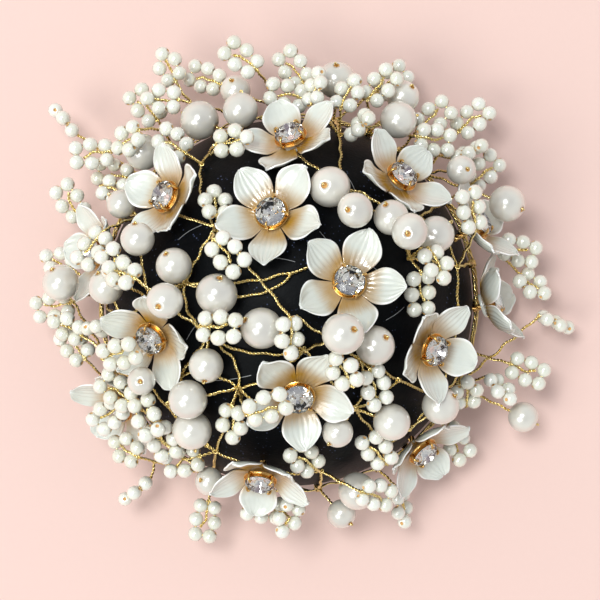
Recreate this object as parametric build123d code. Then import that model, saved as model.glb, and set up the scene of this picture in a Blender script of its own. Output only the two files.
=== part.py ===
from build123d import *
import math
import os
from collections import namedtuple
from itertools import product

import numpy as np

# Domed hair bun cover, in millimetres, +Z up. The origin is the centre of the round opening, on the surface it rests on.
# A place on the cap is a compass angle, anticlockwise from +X, and a slope, the angle down from the crown.

# Cap
cap_radius = 48.0
skirt_height = 7.0
cap_wall = 3.0
hem_round = 0.8

# Hair pin inside the hollow
pin_wire_diameter = 1.6
pin_leg_spacing = 12.0
pin_from_axis = 30.0
pin_tip_height = 5.0

# Wire
wire_diameter = 0.9
knot_diameter = 2.2
knot_height = 1.8
knot_sides = 6
rim_wire_diameter = 1.6
rim_wire_height = 9.6

# Clearances
skin_gap = 0.2
fit_gap = 0.15
air_gap = 0.25
floor_gap = 1.0

# Pearls and beads
pearl_hole_diameter = 1.2
wire_end_inside = 0.35
bead_diameter = 4.0
bead_pitch_share = 0.97
bead_entry_gap = 0.2
loop_bulge = 1.3
pearl_stand = 1.8
loop_stand = 3.4

# Flowers
flower_stand = 2.8
flower_disc_diameter = 6.8
flower_disc_thickness = 1.1
post_diameter = 2.0
petal_count = 5
petal_length = 11.6
petal_half_width = 4.8
petal_rise = 3.4
petal_curl = 1.5
petal_thickness = 0.9
petal_root = 2.2

# Cut stone and its cup
stone_diameter = 7.4
stone_sides = 12
stone_culet_share = 0.14
stone_table_share = 0.58
stone_crown_share = 0.17
stone_girdle_height = 0.25
stone_pavilion_share = 0.27
dish_wall = 0.45
dish_depth = 1.1
seat_ring_wall = 0.7
seat_ring_height = 1.3
claw_count = 4
claw_diameter = 0.76
claw_over_girdle = 0.5

# Outline of a petal: shares of its length, half width, rise and curl, from the disc to the tip.
PetalSection = namedtuple("PetalSection", "along half_width rise curl")
PETAL = [
    PetalSection(0.00, 0.35, 0.00, 0.05),
    PetalSection(0.24, 0.72, 0.04, 0.30),
    PetalSection(0.47, 1.00, 0.18, 0.85),
    PetalSection(0.68, 0.93, 0.44, 1.00),
    PetalSection(0.87, 0.56, 0.79, 0.70),
    PetalSection(1.00, 0.10, 1.00, 0.15),
]

# How the five petals of each form of flower are pitched up, in degrees.
FORMS = {
    "open": (2, 6, 0, 5, 3),
    "half": (9, 4, 11, 7, 12),
    "cupped": (17, 13, 20, 12, 16),
}

# A flower's up turns its face from the cap's normal towards straight up.
Flower = namedtuple("Flower", "compass slope turn up form")
FLOWERS = [
    Flower(17, 17, 49, 0.0, "open"),
    Flower(99, 24, 25, 0.0, "open"),
    Flower(88, 50, 48, 0.0, "open"),
    Flower(48, 51, 0, 0.0, "open"),
    Flower(138, 48, 20, 0.0, "half"),
    Flower(165, 72, 10, 0.2, "half"),
    Flower(193, 40, 30, 0.0, "half"),
    Flower(276, 25, 0, 0.0, "open"),
    Flower(261, 56, 0, 0.0, "half"),
    Flower(342, 44, 0, 0.0, "half"),
    Flower(359, 78, 20, 0.0, "cupped"),
    Flower(312, 73, 0, 0.2, "half"),
    Flower(211, 74, 40, 0.3, "half"),
    Flower(22, 68, 10, 0.0, "half"),
]

# Knots of the wire sprigs. A knot grows from an earlier one along the cap; a root has none and stands over the rim wire.
# The first word of its name is the sprig that it belongs to.
root_slope = 84
Knot = namedtuple("Knot", "name grows_from compass slope")
KNOTS = [
    Knot("left_a", "", 176, root_slope),
    Knot("left_b", "left_a", 187, 56),
    Knot("left_m", "left_b", 178, 44),
    Knot("left_c", "left_m", 169, 31),
    Knot("left_d", "left_c", 134, 31),
    Knot("left_e", "", 152, root_slope),
    Knot("left_f", "left_e", 150, 62),
    Knot("left_g", "", 199, root_slope),
    Knot("left_h", "left_g", 208, 55),
    Knot("left_i", "left_h", 214, 40),
    Knot("left_n", "left_i", 203, 25),
    Knot("left_j", "", 163, root_slope),
    Knot("left_k", "", 187, root_slope),
    Knot("left_l", "", 212, root_slope),
    Knot("back_a", "", 127, root_slope),
    Knot("back_b", "back_a", 122, 56),
    Knot("back_c", "", 103, root_slope),
    Knot("back_d", "back_c", 106, 62),
    Knot("back_i", "", 90, root_slope),
    Knot("back_j", "", 114, root_slope),
    Knot("back_k", "", 139, root_slope),
    Knot("back_l", "", 65, root_slope),
    Knot("back_e", "", 76, root_slope),
    Knot("back_f", "back_e", 73, 64),
    Knot("back_g", "back_f", 66, 38),
    Knot("back_h", "", 54, root_slope),
    Knot("right_n", "", 44, root_slope),
    Knot("right_a", "", 33, root_slope),
    Knot("right_b", "right_a", 33, 52),
    Knot("right_c", "", 12, root_slope),
    Knot("right_d", "right_c", 12, 62),
    Knot("right_l", "right_b", 43, 42),
    Knot("right_i", "", 22, root_slope),
    Knot("right_j", "", 0, root_slope),
    Knot("right_k", "", 334, root_slope),
    Knot("right_e", "right_d", 20, 40),
    Knot("right_f", "", 345, root_slope),
    Knot("right_g", "right_f", 328, 66),
    Knot("right_h", "right_g", 325, 42),
    Knot("right_m", "right_h", 322, 26),
    Knot("front_a", "", 322, root_slope),
    Knot("front_b", "", 298, root_slope),
    Knot("front_c", "front_b", 304, 62),
    Knot("front_d", "front_c", 302, 38),
    Knot("front_e", "front_d", 290, 14),
    Knot("front_f", "", 279, root_slope),
    Knot("front_g", "front_f", 281, 61),
    Knot("front_h", "", 247, root_slope),
    Knot("front_i", "front_h", 244, 57),
    Knot("front_j", "front_i", 240, 29),
    Knot("front_k", "", 227, root_slope),
    Knot("front_l", "", 262, root_slope),
    Knot("front_m", "", 309, root_slope),
    Knot("front_n", "", 289, root_slope),
]

# Large pearls: where each stands, how far its centre is lifted at least, and its diameter.
Pearl = namedtuple("Pearl", "compass slope lift diameter")
PEARLS = [
    Pearl(224, 9, 0, 10.0),
    Pearl(173, 18, 0, 10.0),
    Pearl(331, 16, 0, 10.0),
    Pearl(334, 25, 0, 9.6),
    Pearl(73, 31, 0, 10.0),
    Pearl(54, 30, 0, 8.6),
    Pearl(45, 33, 0, 8.6),
    Pearl(33, 37, 0, 8.8),
    Pearl(27, 46, 0, 9.2),
    Pearl(162, 32, 0, 8.8),
    Pearl(179, 32, 0, 8.8),
    Pearl(214, 27, 0, 8.4),
    Pearl(224, 35, 0, 9.6),
    Pearl(233, 42, 0, 9.8),
    Pearl(291, 37, 0, 7.6),
    Pearl(311, 45, 0, 9.2),
    Pearl(326, 52, 0, 9.4),
    Pearl(157, 46, 0, 8.4),
    Pearl(175, 57, 0, 8.8),
    Pearl(153, 62, 5, 7.4),
    Pearl(175, 76, 10, 9.4),
    Pearl(116, 69, 7, 10.0),
    Pearl(104, 65, 7, 9.0),
    Pearl(78, 76, 12, 9.8),
    Pearl(59, 68, 10, 9.4),
    Pearl(134, 72, 8, 9.4),
    Pearl(36, 71, 8, 7.4),
    Pearl(23, 77, 10, 9.4),
    Pearl(334, 84, 20, 8.0),
    Pearl(61, 76, 14, 8.6),
    Pearl(104, 75, 10, 7.8),
    Pearl(246, 65, 5, 7.2),
    Pearl(290, 68, 6, 9.6),
    Pearl(284, 80, 9, 7.6),
    Pearl(208, 44, 5, 7.0),
]

# Loops of small beads: up turns the loop's face from the cap's normal to straight up, roll turns it towards edge-on.
Loop = namedtuple("Loop", "compass slope lift beads up roll")
LOOPS = [
    Loop(141, 21, 0, 6, 0.0, 10),
    Loop(200, 19, 0, 6, 0.0, -20),
    Loop(285, 9, 0, 5, 0.0, 45),
    Loop(309, 23, 0, 5, 0.0, -25),
    Loop(319, 32, 0, 6, 0.0, 15),
    Loop(259, 28, 5, 6, 0.0, 10),
    Loop(4, 39, 0, 6, 0.2, -10),
    Loop(17, 45, 0, 5, 0.2, 15),
    Loop(126, 33, 0, 5, 0.1, -30),
    Loop(245, 38, 0, 5, 0.2, -20),
    Loop(276, 50, 0, 6, 0.3, 20),
    Loop(301, 55, 0, 6, 0.4, -15),
    Loop(298, 65, 5, 6, 0.5, 20),
    Loop(109, 54, 0, 5, 0.5, 10),
    Loop(164, 50, 0, 6, 0.5, 20),
    Loop(172, 46, 0, 5, 0.4, -30),
    Loop(188, 62, 5, 5, 0.3, 75),
    Loop(205, 56, 0, 6, 0.6, -10),
    Loop(212, 62, 5, 6, 0.6, 15),
    Loop(221, 54, 0, 6, 0.6, -20),
    Loop(228, 57, 0, 6, 0.6, 25),
    Loop(236, 64, 5, 6, 0.7, -10),
    Loop(126, 66, 6, 6, 0.6, 15),
    Loop(147, 72, 6, 6, 0.6, -20),
    Loop(144, 77, 9, 6, 0.8, 15),
    Loop(143, 80, 16, 6, 0.9, -10),
    Loop(141, 83, 27, 5, 0.0, 82),
    Loop(155, 78, 15, 6, 0.9, 15),
    Loop(126, 78, 16, 6, 0.9, -10),
    Loop(117, 81, 21, 5, 0.9, 20),
    Loop(119, 74, 13, 5, 0.8, -20),
    Loop(112, 77, 13, 6, 0.8, 15),
    Loop(101, 78, 15, 6, 0.9, -10),
    Loop(89, 77, 14, 6, 0.95, 10),
    Loop(94, 70, 8, 6, 0.8, -15),
    Loop(68, 61, 6, 5, 0.4, 70),
    Loop(64, 70, 9, 6, 0.8, 15),
    Loop(65, 78, 16, 6, 0.9, -15),
    Loop(74, 72, 9, 5, 0.7, 25),
    Loop(52, 78, 14, 6, 0.95, 10),
    Loop(51, 70, 9, 6, 0.8, -20),
    Loop(45, 81, 20, 6, 0.9, 15),
    Loop(40, 78, 14, 5, 0.3, 78),
    Loop(34, 78, 13, 6, 0.9, -15),
    Loop(27, 60, 6, 6, 0.5, -20),
    Loop(14, 77, 8, 6, 0.9, -10),
    Loop(3, 80, 15, 5, 0.7, 35),
    Loop(357, 82, 20, 5, 0.2, 72),
    Loop(344, 82, 17, 6, 0.9, 10),
    Loop(338, 79, 12, 5, 0.6, 60),
    Loop(333, 70, 6, 5, 0.6, -30),
    Loop(320, 79, 9, 6, 0.8, 15),
    Loop(299, 84, 13, 5, 0.5, 55),
    Loop(231, 84, 15, 5, 0.2, 78),
    Loop(249, 83, 13, 6, 0.95, -10),
    Loop(263, 66, 7, 6, 0.7, 15),
    Loop(191, 79, 9, 6, 0.8, -20),
    Loop(181, 80, 14, 6, 0.85, 15),
    Loop(170, 80, 13, 5, 0.8, -25),
    Loop(201, 36, 9, 6, 0.3, 20),
    Loop(168, 58, 6, 6, 0.5, -15),
    Loop(185, 70, 8, 5, 0.6, 20),
    Loop(133, 70, 12, 5, 0.6, 25),
    Loop(83, 70, 10, 5, 0.7, 60),
    Loop(270, 75, 8, 5, 0.7, 30),
    Loop(222, 74, 8, 5, 0.7, -20),
]

# How far a piece may move from its place, out of the cap, sideways and down it, until it and its wire stand clear.
# A move that shows from above counts in full, and one up or down counts by its share.
move_step = 0.75
move_out_most = 12.0
move_side_most = 3.0
move_down_most = 6.0
vertical_share = 0.35
wire_longest = 32.0
knots_tried = 8

wire_radius = wire_diameter / 2
knot_lift = skin_gap + knot_height / 2
knot_reach = math.hypot(knot_diameter / 2, knot_height / 2)
cap_centre = np.array([0.0, 0.0, skirt_height])
up_axis = np.array([0.0, 0.0, 1.0])


def unit(vector):
    return vector / np.linalg.norm(vector)


def outward(compass, slope):
    """Direction that points straight out of the cap at this place."""
    c = math.radians(compass)
    s = math.radians(slope)
    return np.array([math.sin(s) * math.cos(c), math.sin(s) * math.sin(c), math.cos(s)])


def on_cap(compass, slope, lift):
    """Point that stands this far out of the cap's skin."""
    return cap_centre + outward(compass, slope) * (cap_radius + lift)


def plane_at(point, normal, towards):
    """Plane whose x axis is the part of towards that lies in it."""
    flat = towards - normal * np.dot(towards, normal)
    return Plane(origin=tuple(point), x_dir=tuple(unit(flat)), z_dir=tuple(normal))


# Clearance is worked out on balls: each piece is covered by a few balls, and balls of two pieces keep air_gap apart.
# Wires of one knot may touch near it, on as many balls as near_knot says.
ball_step = 0.8
near_knot = 3
wire_ball_radius = math.hypot(wire_radius, ball_step / 2) + 0.02
petal_ball_radius = 1.0
petal_ball_rows = 11
petal_ball_columns = 7
turn_steps = (0, 12, -12, 24, -24, 36)


def ball(centre, radius):
    return np.array([[*centre, radius]])


def wire_balls(start, end):
    """Balls that cover a straight wire."""
    count = max(2, math.ceil(np.linalg.norm(end - start) / ball_step) + 1)
    share = np.linspace(0.0, 1.0, count)[:, None]
    points = start + (end - start) * share
    return np.hstack([points, np.full((count, 1), wire_ball_radius)])


class TakenSpace:
    """The balls of all that is placed, each with the knot that its wire comes from, or none."""

    def __init__(self):
        self.balls = np.empty((0, 4))
        self.knots = np.empty(0, dtype=object)

    def take(self, balls, knot=""):
        self.balls = np.vstack([self.balls, balls])
        self.knots = np.append(self.knots, [knot] * len(balls))

    def is_free(self, balls, knot=None):
        """Whether the balls stand clear of the floor, of the cap and of all balls of other knots."""
        centres = balls[:, :3]
        radii = balls[:, 3]
        if np.any(centres[:, 2] - radii < floor_gap):
            return False
        from_axis = np.hypot(centres[:, 0], centres[:, 1])
        above = np.maximum(centres[:, 2] - skirt_height, 0.0)
        if np.any(np.hypot(from_axis, above) - radii < cap_radius + skin_gap):
            return False
        if not len(self.balls):
            return True
        middle = centres.mean(axis=0)
        reach = np.max(np.linalg.norm(centres - middle, axis=1) + radii) + air_gap
        near = np.linalg.norm(self.balls[:, :3] - middle, axis=1) < reach + self.balls[:, 3]
        others = self.balls[near & (self.knots != knot)] if knot else self.balls[near]
        apart = np.linalg.norm(centres[:, None, :] - others[None, :, :3], axis=2)
        return bool(np.all(apart - radii[:, None] - others[None, :, 3] >= air_gap))


taken = TakenSpace()


# Cap: a half ball on a short skirt, hollow and open below, its hem rounded.
def make_cap():
    inner_radius = cap_radius - cap_wall
    wall = [
        Line((inner_radius, 0), (cap_radius, 0)),
        Line((cap_radius, 0), (cap_radius, skirt_height)),
        CenterArc((0, skirt_height), cap_radius, 0, 90),
        Line((0, skirt_height + cap_radius), (0, skirt_height + inner_radius)),
        CenterArc((0, skirt_height), inner_radius, 0, 90),
        Line((inner_radius, skirt_height), (inner_radius, 0)),
    ]
    cap = revolve(Plane.XZ * make_face(wall), Axis.Z, 360)
    hem = [edge for edge in cap.edges() if edge.center().Z < hem_round / 2]
    return fillet(hem, min(hem_round, cap_wall * 0.4))


# Hair pin: two straight legs and a round bow that meets the cap's inner wall.
def make_pin():
    radius = pin_wire_diameter / 2
    half_spacing = pin_leg_spacing / 2
    reach = cap_radius - cap_wall - skin_gap - radius
    bow_top = skirt_height + math.sqrt(reach ** 2 - pin_from_axis ** 2)
    bow_centre = bow_top - half_spacing
    legs = [
        Line((-half_spacing, pin_tip_height + radius), (-half_spacing, bow_centre)),
        CenterArc((0, bow_centre), half_spacing, 180, -180),
        Line((half_spacing, bow_centre), (half_spacing, pin_tip_height + radius)),
    ]
    side = Plane(origin=(0, pin_from_axis, 0), x_dir=(1, 0, 0), z_dir=(0, -1, 0))
    path = side * Wire(legs)
    start = Plane(origin=path @ 0, z_dir=path % 0)
    wire = sweep(start * Circle(radius), path=path)
    tips = [Pos(path @ 0) * Sphere(radius), Pos(path @ 1) * Sphere(radius)]
    return wire + tips


def make_rim_wire():
    radius = rim_wire_diameter / 2
    return Pos(0, 0, rim_wire_height) * Torus(cap_radius + skin_gap + radius, radius)


# Petals: each is lofted through thin bowed sections; five of them grow from a round disc.
def petal_section(section):
    half = petal_half_width * section.half_width
    low = petal_rise * section.rise
    edge = low + petal_curl * section.curl
    top = petal_thickness * (0.55 if section.along == 1.0 else 1.0)
    outline = [
        ThreePointArc((-half, edge), (0, low), (half, edge)),
        Line((half, edge), (half, edge + top)),
        ThreePointArc((half, edge + top), (0, low + top), (-half, edge + top)),
        Line((-half, edge + top), (-half, edge)),
    ]
    at = petal_root + petal_length * section.along
    return Plane(origin=(at, 0, 0), x_dir=(0, 1, 0), z_dir=(1, 0, 0)) * make_face(outline)


def pitched(pitch):
    """Turn that lifts a petal's tip about its root."""
    return Pos(petal_root, 0, 0) * Rot(0, -pitch, 0) * Pos(-petal_root, 0, 0)


def make_petals(form):
    petal = loft([petal_section(section) for section in PETAL])
    disc = Pos(0, 0, flower_disc_thickness / 2) * Cylinder(flower_disc_diameter / 2, flower_disc_thickness)
    hole = Cylinder(post_diameter / 2 + fit_gap, 4 * flower_disc_thickness)
    around = [Rot(0, 0, 360 / petal_count * i) * pitched(pitch) * petal for i, pitch in enumerate(FORMS[form])]
    return (disc + around) - hole


# Cup: post, dish and seat ring turned in one, with claws round the stone.
cup_base = flower_disc_thickness + fit_gap
seat_ring_outer = stone_diameter / 2 * 0.86
seat_ring_inner = seat_ring_outer - seat_ring_wall
seat_ring_top = cup_base + dish_wall + seat_ring_height
claw_from_axis = stone_diameter / 2 + fit_gap + claw_diameter / 2
dish_radius = claw_from_axis + claw_diameter / 2
pavilion_slope = stone_pavilion_share / ((1 - stone_culet_share) / 2)
stone_culet_height = seat_ring_top + fit_gap - pavilion_slope * (seat_ring_inner - stone_diameter * stone_culet_share / 2)
stone_girdle = stone_culet_height + stone_diameter * stone_pavilion_share


def make_cup(post_length):
    post = post_diameter / 2
    rise = dish_depth / (dish_radius - post)
    ring_foot = cup_base + dish_wall + rise * (seat_ring_outer - post)
    profile = Polyline(
        (0, -post_length),
        (post, -post_length),
        (post, cup_base),
        (dish_radius, cup_base + dish_depth),
        (dish_radius, cup_base + dish_depth + dish_wall),
        (seat_ring_outer, ring_foot),
        (seat_ring_outer, seat_ring_top),
        (seat_ring_inner, seat_ring_top),
        (seat_ring_inner, cup_base + dish_wall),
        (0, cup_base + dish_wall),
        close=True,
    )
    turned = revolve(Plane.XZ * make_face(profile), Axis.Z, 360)
    foot = cup_base + dish_depth
    tip = stone_girdle + stone_girdle_height + claw_over_girdle
    claws = []
    for i in range(claw_count):
        place = Rot(0, 0, 360 / claw_count * (i + 0.5)) * Pos(claw_from_axis, 0, 0)
        claws.append(place * Pos(0, 0, (foot + tip) / 2) * Cylinder(claw_diameter / 2, tip - foot))
        claws.append(place * Pos(0, 0, tip) * Sphere(claw_diameter / 2))
    return turned + claws


def make_stone():
    """Cut stone with a flat table, a ring of crown facets, a girdle and a pavilion."""
    radius = stone_diameter / 2
    heights = [
        (stone_culet_share, 0.0),
        (1.0, stone_diameter * stone_pavilion_share),
        (1.0, stone_diameter * stone_pavilion_share + stone_girdle_height),
        (stone_table_share, stone_diameter * (stone_pavilion_share + stone_crown_share) + stone_girdle_height),
    ]
    rings = [Pos(0, 0, stone_culet_height + z) * RegularPolygon(radius * share, stone_sides) for share, z in heights]
    return loft(rings, ruled=True)


def petal_cover(form):
    """Balls over the disc and petals, in the flower's own frame."""
    balls = [ball((x, y, flower_disc_thickness / 2), 1.2) for x in (-2, 0, 2) for y in (-2, 0, 2)]
    for i, pitch in enumerate(FORMS[form]):
        turn = math.radians(360 / petal_count * i)
        lift = math.radians(pitch)
        for share in np.linspace(0.1, 1.0, petal_ball_rows):
            half = petal_half_width * np.interp(share, [s.along for s in PETAL], [s.half_width for s in PETAL])
            low = petal_rise * np.interp(share, [s.along for s in PETAL], [s.rise for s in PETAL])
            curl = petal_curl * np.interp(share, [s.along for s in PETAL], [s.curl for s in PETAL])
            for side in np.linspace(-1.0, 1.0, petal_ball_columns):
                along = petal_length * share
                z = low + curl * side ** 2 + petal_thickness / 2
                x = petal_root + along * math.cos(lift) - z * math.sin(lift)
                height = along * math.sin(lift) + z * math.cos(lift)
                y = side * max(half - petal_ball_radius / 2, 0.0)
                balls.append(ball((x * math.cos(turn) - y * math.sin(turn), x * math.sin(turn) + y * math.cos(turn),
                                   height), petal_ball_radius))
    top = stone_girdle + stone_diameter * stone_crown_share
    balls.append(ball((0, 0, cup_base + dish_depth), dish_radius + 0.1))
    balls.append(ball((0, 0, top - stone_diameter / 2 + 0.5), stone_diameter / 2 + 0.3))
    return np.vstack(balls)


def moved_balls(balls, plane):
    """Balls of a piece's own frame, carried to where the piece stands."""
    axes = np.array([tuple(plane.x_dir), tuple(plane.y_dir), tuple(plane.z_dir)])
    return np.hstack([balls[:, :3] @ axes + np.array(tuple(plane.origin)), balls[:, 3:]])


def flower_plane(flower, lift, turn):
    out = outward(flower.compass, flower.slope)
    normal = unit(out * (1 - flower.up) + up_axis * flower.up)
    down = outward(flower.compass, flower.slope + 90)
    plane = plane_at(on_cap(flower.compass, flower.slope, lift), normal, down)
    return plane.rotated((0, 0, flower.turn + turn))


def post_reach(plane):
    """How far a flower's post runs down from its disc before it stands skin_gap off the cap."""
    normal = np.array(tuple(plane.z_dir))
    from_centre = np.array(tuple(plane.origin)) - cap_centre
    lean = np.linalg.norm(np.cross(normal, unit(from_centre)))
    stop = cap_radius + skin_gap + post_diameter / 2 * lean
    along = np.dot(from_centre, normal)
    return along - math.sqrt(along ** 2 - np.dot(from_centre, from_centre) + stop ** 2)


def place_flowers():
    """Stand each flower on its post, raised until its petals clear the ones placed before."""
    covers = {form: petal_cover(form) for form in FORMS}
    placed = []
    for flower in FLOWERS:
        for extra, turn in product(np.arange(0.0, move_out_most, move_step), turn_steps):
            plane = flower_plane(flower, flower_stand + extra, turn)
            balls = moved_balls(covers[flower.form], plane)
            if taken.is_free(balls):
                break
        else:
            print("no room for flower", flower)
        taken.take(balls)
        post_length = post_reach(plane)
        top = np.array(tuple(plane.origin))
        foot = top - np.array(tuple(plane.z_dir)) * post_length
        taken.take(wire_balls(foot, top) + np.array([0, 0, 0, post_diameter / 2 - wire_radius]))
        placed.append((flower, plane, post_length))
    return placed


def place_knots():
    """Where each knot lies, and the sprig that it belongs to."""
    places = {}
    for knot in KNOTS:
        places[knot.name] = on_cap(knot.compass, knot.slope, knot_lift)
        taken.take(ball(places[knot.name], knot_reach), knot.name)
    for knot in KNOTS:
        if knot.grows_from:
            start, end = places[knot.grows_from], places[knot.name]
            count = math.ceil(np.linalg.norm(end - start) / ball_step) + 1
            balls = np.hstack([arc_points(start, end, count), np.full((count, 1), wire_ball_radius)])
            if not taken.is_free(balls[near_knot + 1:-near_knot - 1]):
                print("arc meets something on its way to", knot.name)
            taken.take(balls[:near_knot], knot.grows_from)
            taken.take(balls[near_knot:-near_knot])
            taken.take(balls[-near_knot:], knot.name)
    return places


def arc_points(start, end, count):
    """Points on the round arc over the cap from one place to another."""
    points = []
    for share in np.linspace(0.0, 1.0, count):
        direction = unit((start - cap_centre) * (1 - share) + (end - cap_centre) * share)
        points.append(cap_centre + direction * (cap_radius + knot_lift))
    return np.array(points)


def nearest_knots(places, point):
    return sorted(places, key=lambda name: np.linalg.norm(places[name] - point))[:knots_tried]


def pearl_body(pearl, centre, knot_point):
    """Centre, wire end and balls of a pearl threaded on the wire from this knot."""
    along = unit(centre - knot_point)
    wire_end = centre + along * (pearl.diameter / 2 - wire_end_inside)
    mouth = centre - along * pearl.diameter / 2
    return centre, along, wire_end, ball(centre, pearl.diameter / 2), wire_balls(knot_point, mouth)


def loop_places(beads):
    """Middles of a loop's beads: a ring pressed to a leaf, its mouth on +X and its tip on -X."""
    pitch = bead_pitch_share * bead_diameter
    wide = pitch / 2 * loop_bulge
    across = [pitch / 2, wide] + ([pitch / 2] if beads % 2 == 0 else [0.0])
    along = [0.0]
    for before, after in zip(across, across[1:]):
        along.append(along[-1] - math.sqrt(pitch ** 2 - (before - after) ** 2))
    one_side = list(zip(along, across))
    other_side = [(x, -y) for x, y in reversed(one_side) if y > 0]
    places = np.array(one_side + other_side)
    return places - np.array([places[:, 0].mean(), 0.0])


def loop_body(loop, centre, knot_point):
    """Plane, wire end and balls of a loop of beads held by the wire from this knot."""
    out = unit(centre - cap_centre)
    face = unit(out * (1 - loop.up) + up_axis * loop.up)
    side = unit(np.cross(up_axis, out))
    roll = math.radians(loop.roll)
    normal = unit(face * math.cos(roll) + side * math.sin(roll))
    plane = plane_at(centre, normal, knot_point - centre)
    spots = loop_places(loop.beads)
    mouth, aside = spots[0]
    reach = bead_diameter / 2 + bead_entry_gap + wire_radius
    entry = mouth + math.sqrt(max(reach ** 2 - (aside - wire_radius) ** 2, 0.0)) - wire_radius
    wire_end = centre + np.array(tuple(plane.x_dir)) * entry
    axes = np.array([tuple(plane.x_dir), tuple(plane.y_dir)])
    beads = [ball(centre + spot @ axes, bead_diameter / 2) for spot in spots]
    wire_stop = wire_end + unit(knot_point - wire_end) * wire_radius
    return plane, wire_end, np.vstack(beads), wire_balls(knot_point, wire_stop)


def moves_from(out):
    """Moves a piece may make from its place, the least seen first."""
    side = unit(np.cross(up_axis, out))
    down = np.cross(side, out)
    moves = []
    for far in np.arange(0.0, move_out_most + 0.01, move_step):
        for aside in np.arange(-move_side_most, move_side_most + 0.01, 2 * move_step):
            for lower in np.arange(-move_down_most, move_down_most + 0.01, 2 * move_step):
                move = out * far + side * aside + down * lower
                moves.append((math.hypot(move[0], move[1]) + vertical_share * abs(move[2]), len(moves), move))
    return sorted(moves, key=lambda entry: entry[:2])


def settle(piece, low, body_of, places):
    """Move a piece from its place until it and its wire stand clear, on the nearest knot that allows it."""
    start = on_cap(piece.compass, piece.slope, max(piece.lift, low))
    for _, _, move in moves_from(outward(piece.compass, piece.slope)):
        centre = start + move
        for name in nearest_knots(places, centre):
            body = body_of(piece, centre, places[name])
            balls, wire = body[-2], body[-1]
            if not taken.is_free(balls):
                break
            if np.linalg.norm(wire[0, :3] - wire[-1, :3]) > wire_longest:
                continue
            if taken.is_free(wire[2:], name):
                taken.take(balls)
                taken.take(wire[:near_knot], name)
                taken.take(wire[near_knot:])
                return name, body
    print("no room for", piece)
    return None


# Shifts of a wire's foot that are tried in turn when wires are joined.
nudge_step = 0.08
NUDGES = [(0, 0, 0), (1, 0, 0), (0, 1, 0), (-1, 0, 1), (0, -1, -1), (2, 1, 0), (-1, 2, 1), (0, -2, 1), (2, 0, -2)]


# The two kinds of piece on the wires.
def make_pearl(diameter, centre, along):
    pearl = Sphere(diameter / 2) - Cylinder(pearl_hole_diameter / 2, diameter * 1.2)
    return Plane(origin=tuple(centre), z_dir=tuple(along)).location * pearl


def make_loop(beads):
    """Small beads threaded side by side in a closed loop, its mouth towards +X."""
    spheres = [Pos(x, y, 0) * Sphere(bead_diameter / 2) for x, y in loop_places(beads)]
    return spheres[0] + spheres[1:]


def knot_block(centre, nudge):
    """Knot that stands off the cap: a short block, flat on all sides so that wires join it cleanly."""
    place = Plane(origin=tuple(centre + nudge), z_dir=tuple(unit(centre - cap_centre)))
    return place.location * Pos(0, 0, -knot_height / 2) * extrude(RegularPolygon(knot_diameter / 2, knot_sides), knot_height)


def straight_wire(start, end, nudge):
    foot = start + nudge
    length = float(np.linalg.norm(end - foot))
    middle = Plane(origin=tuple((foot + end) / 2), z_dir=tuple(unit(end - foot)))
    return middle.location * Cylinder(wire_radius, length)


def arc_wire(start, end, nudge):
    """Wire that follows the cap from one knot to the next."""
    points = arc_points(start, end, 3)
    path = ThreePointArc(*[tuple(point + nudge) for point in points])
    section = Plane(origin=path @ 0, z_dir=path % 0) * Circle(wire_radius)
    return sweep(section, path=path)


def soldered(body, make, *where):
    """Body with one more knot or wire joined on. It shifts a little inside its knot until the joint is sound."""
    for shift in NUDGES:
        added = make(*where, np.array(shift) * nudge_step)
        both = body.fuse(added)
        if both.is_valid and len(both.solids()) == 1 and body.volume < both.volume < body.volume + added.volume:
            return both
    print("unsound joint at", where[0])
    return body


def branch(root, places, joints):
    """One soldered branch: its root, the knots that grow from it along the cap, and the wires out to the pieces."""
    body = knot_block(places[root], np.zeros(3))
    grown = {root}
    for knot in KNOTS:
        if knot.grows_from in grown:
            body = soldered(body, arc_wire, places[knot.grows_from], places[knot.name])
            body = soldered(body, knot_block, places[knot.name])
            grown.add(knot.name)
    for name, wire_end in joints:
        if name in grown:
            body = soldered(body, straight_wire, places[name], wire_end)
    return body


def sprig_of(name):
    return name.split("_")[0]


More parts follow.
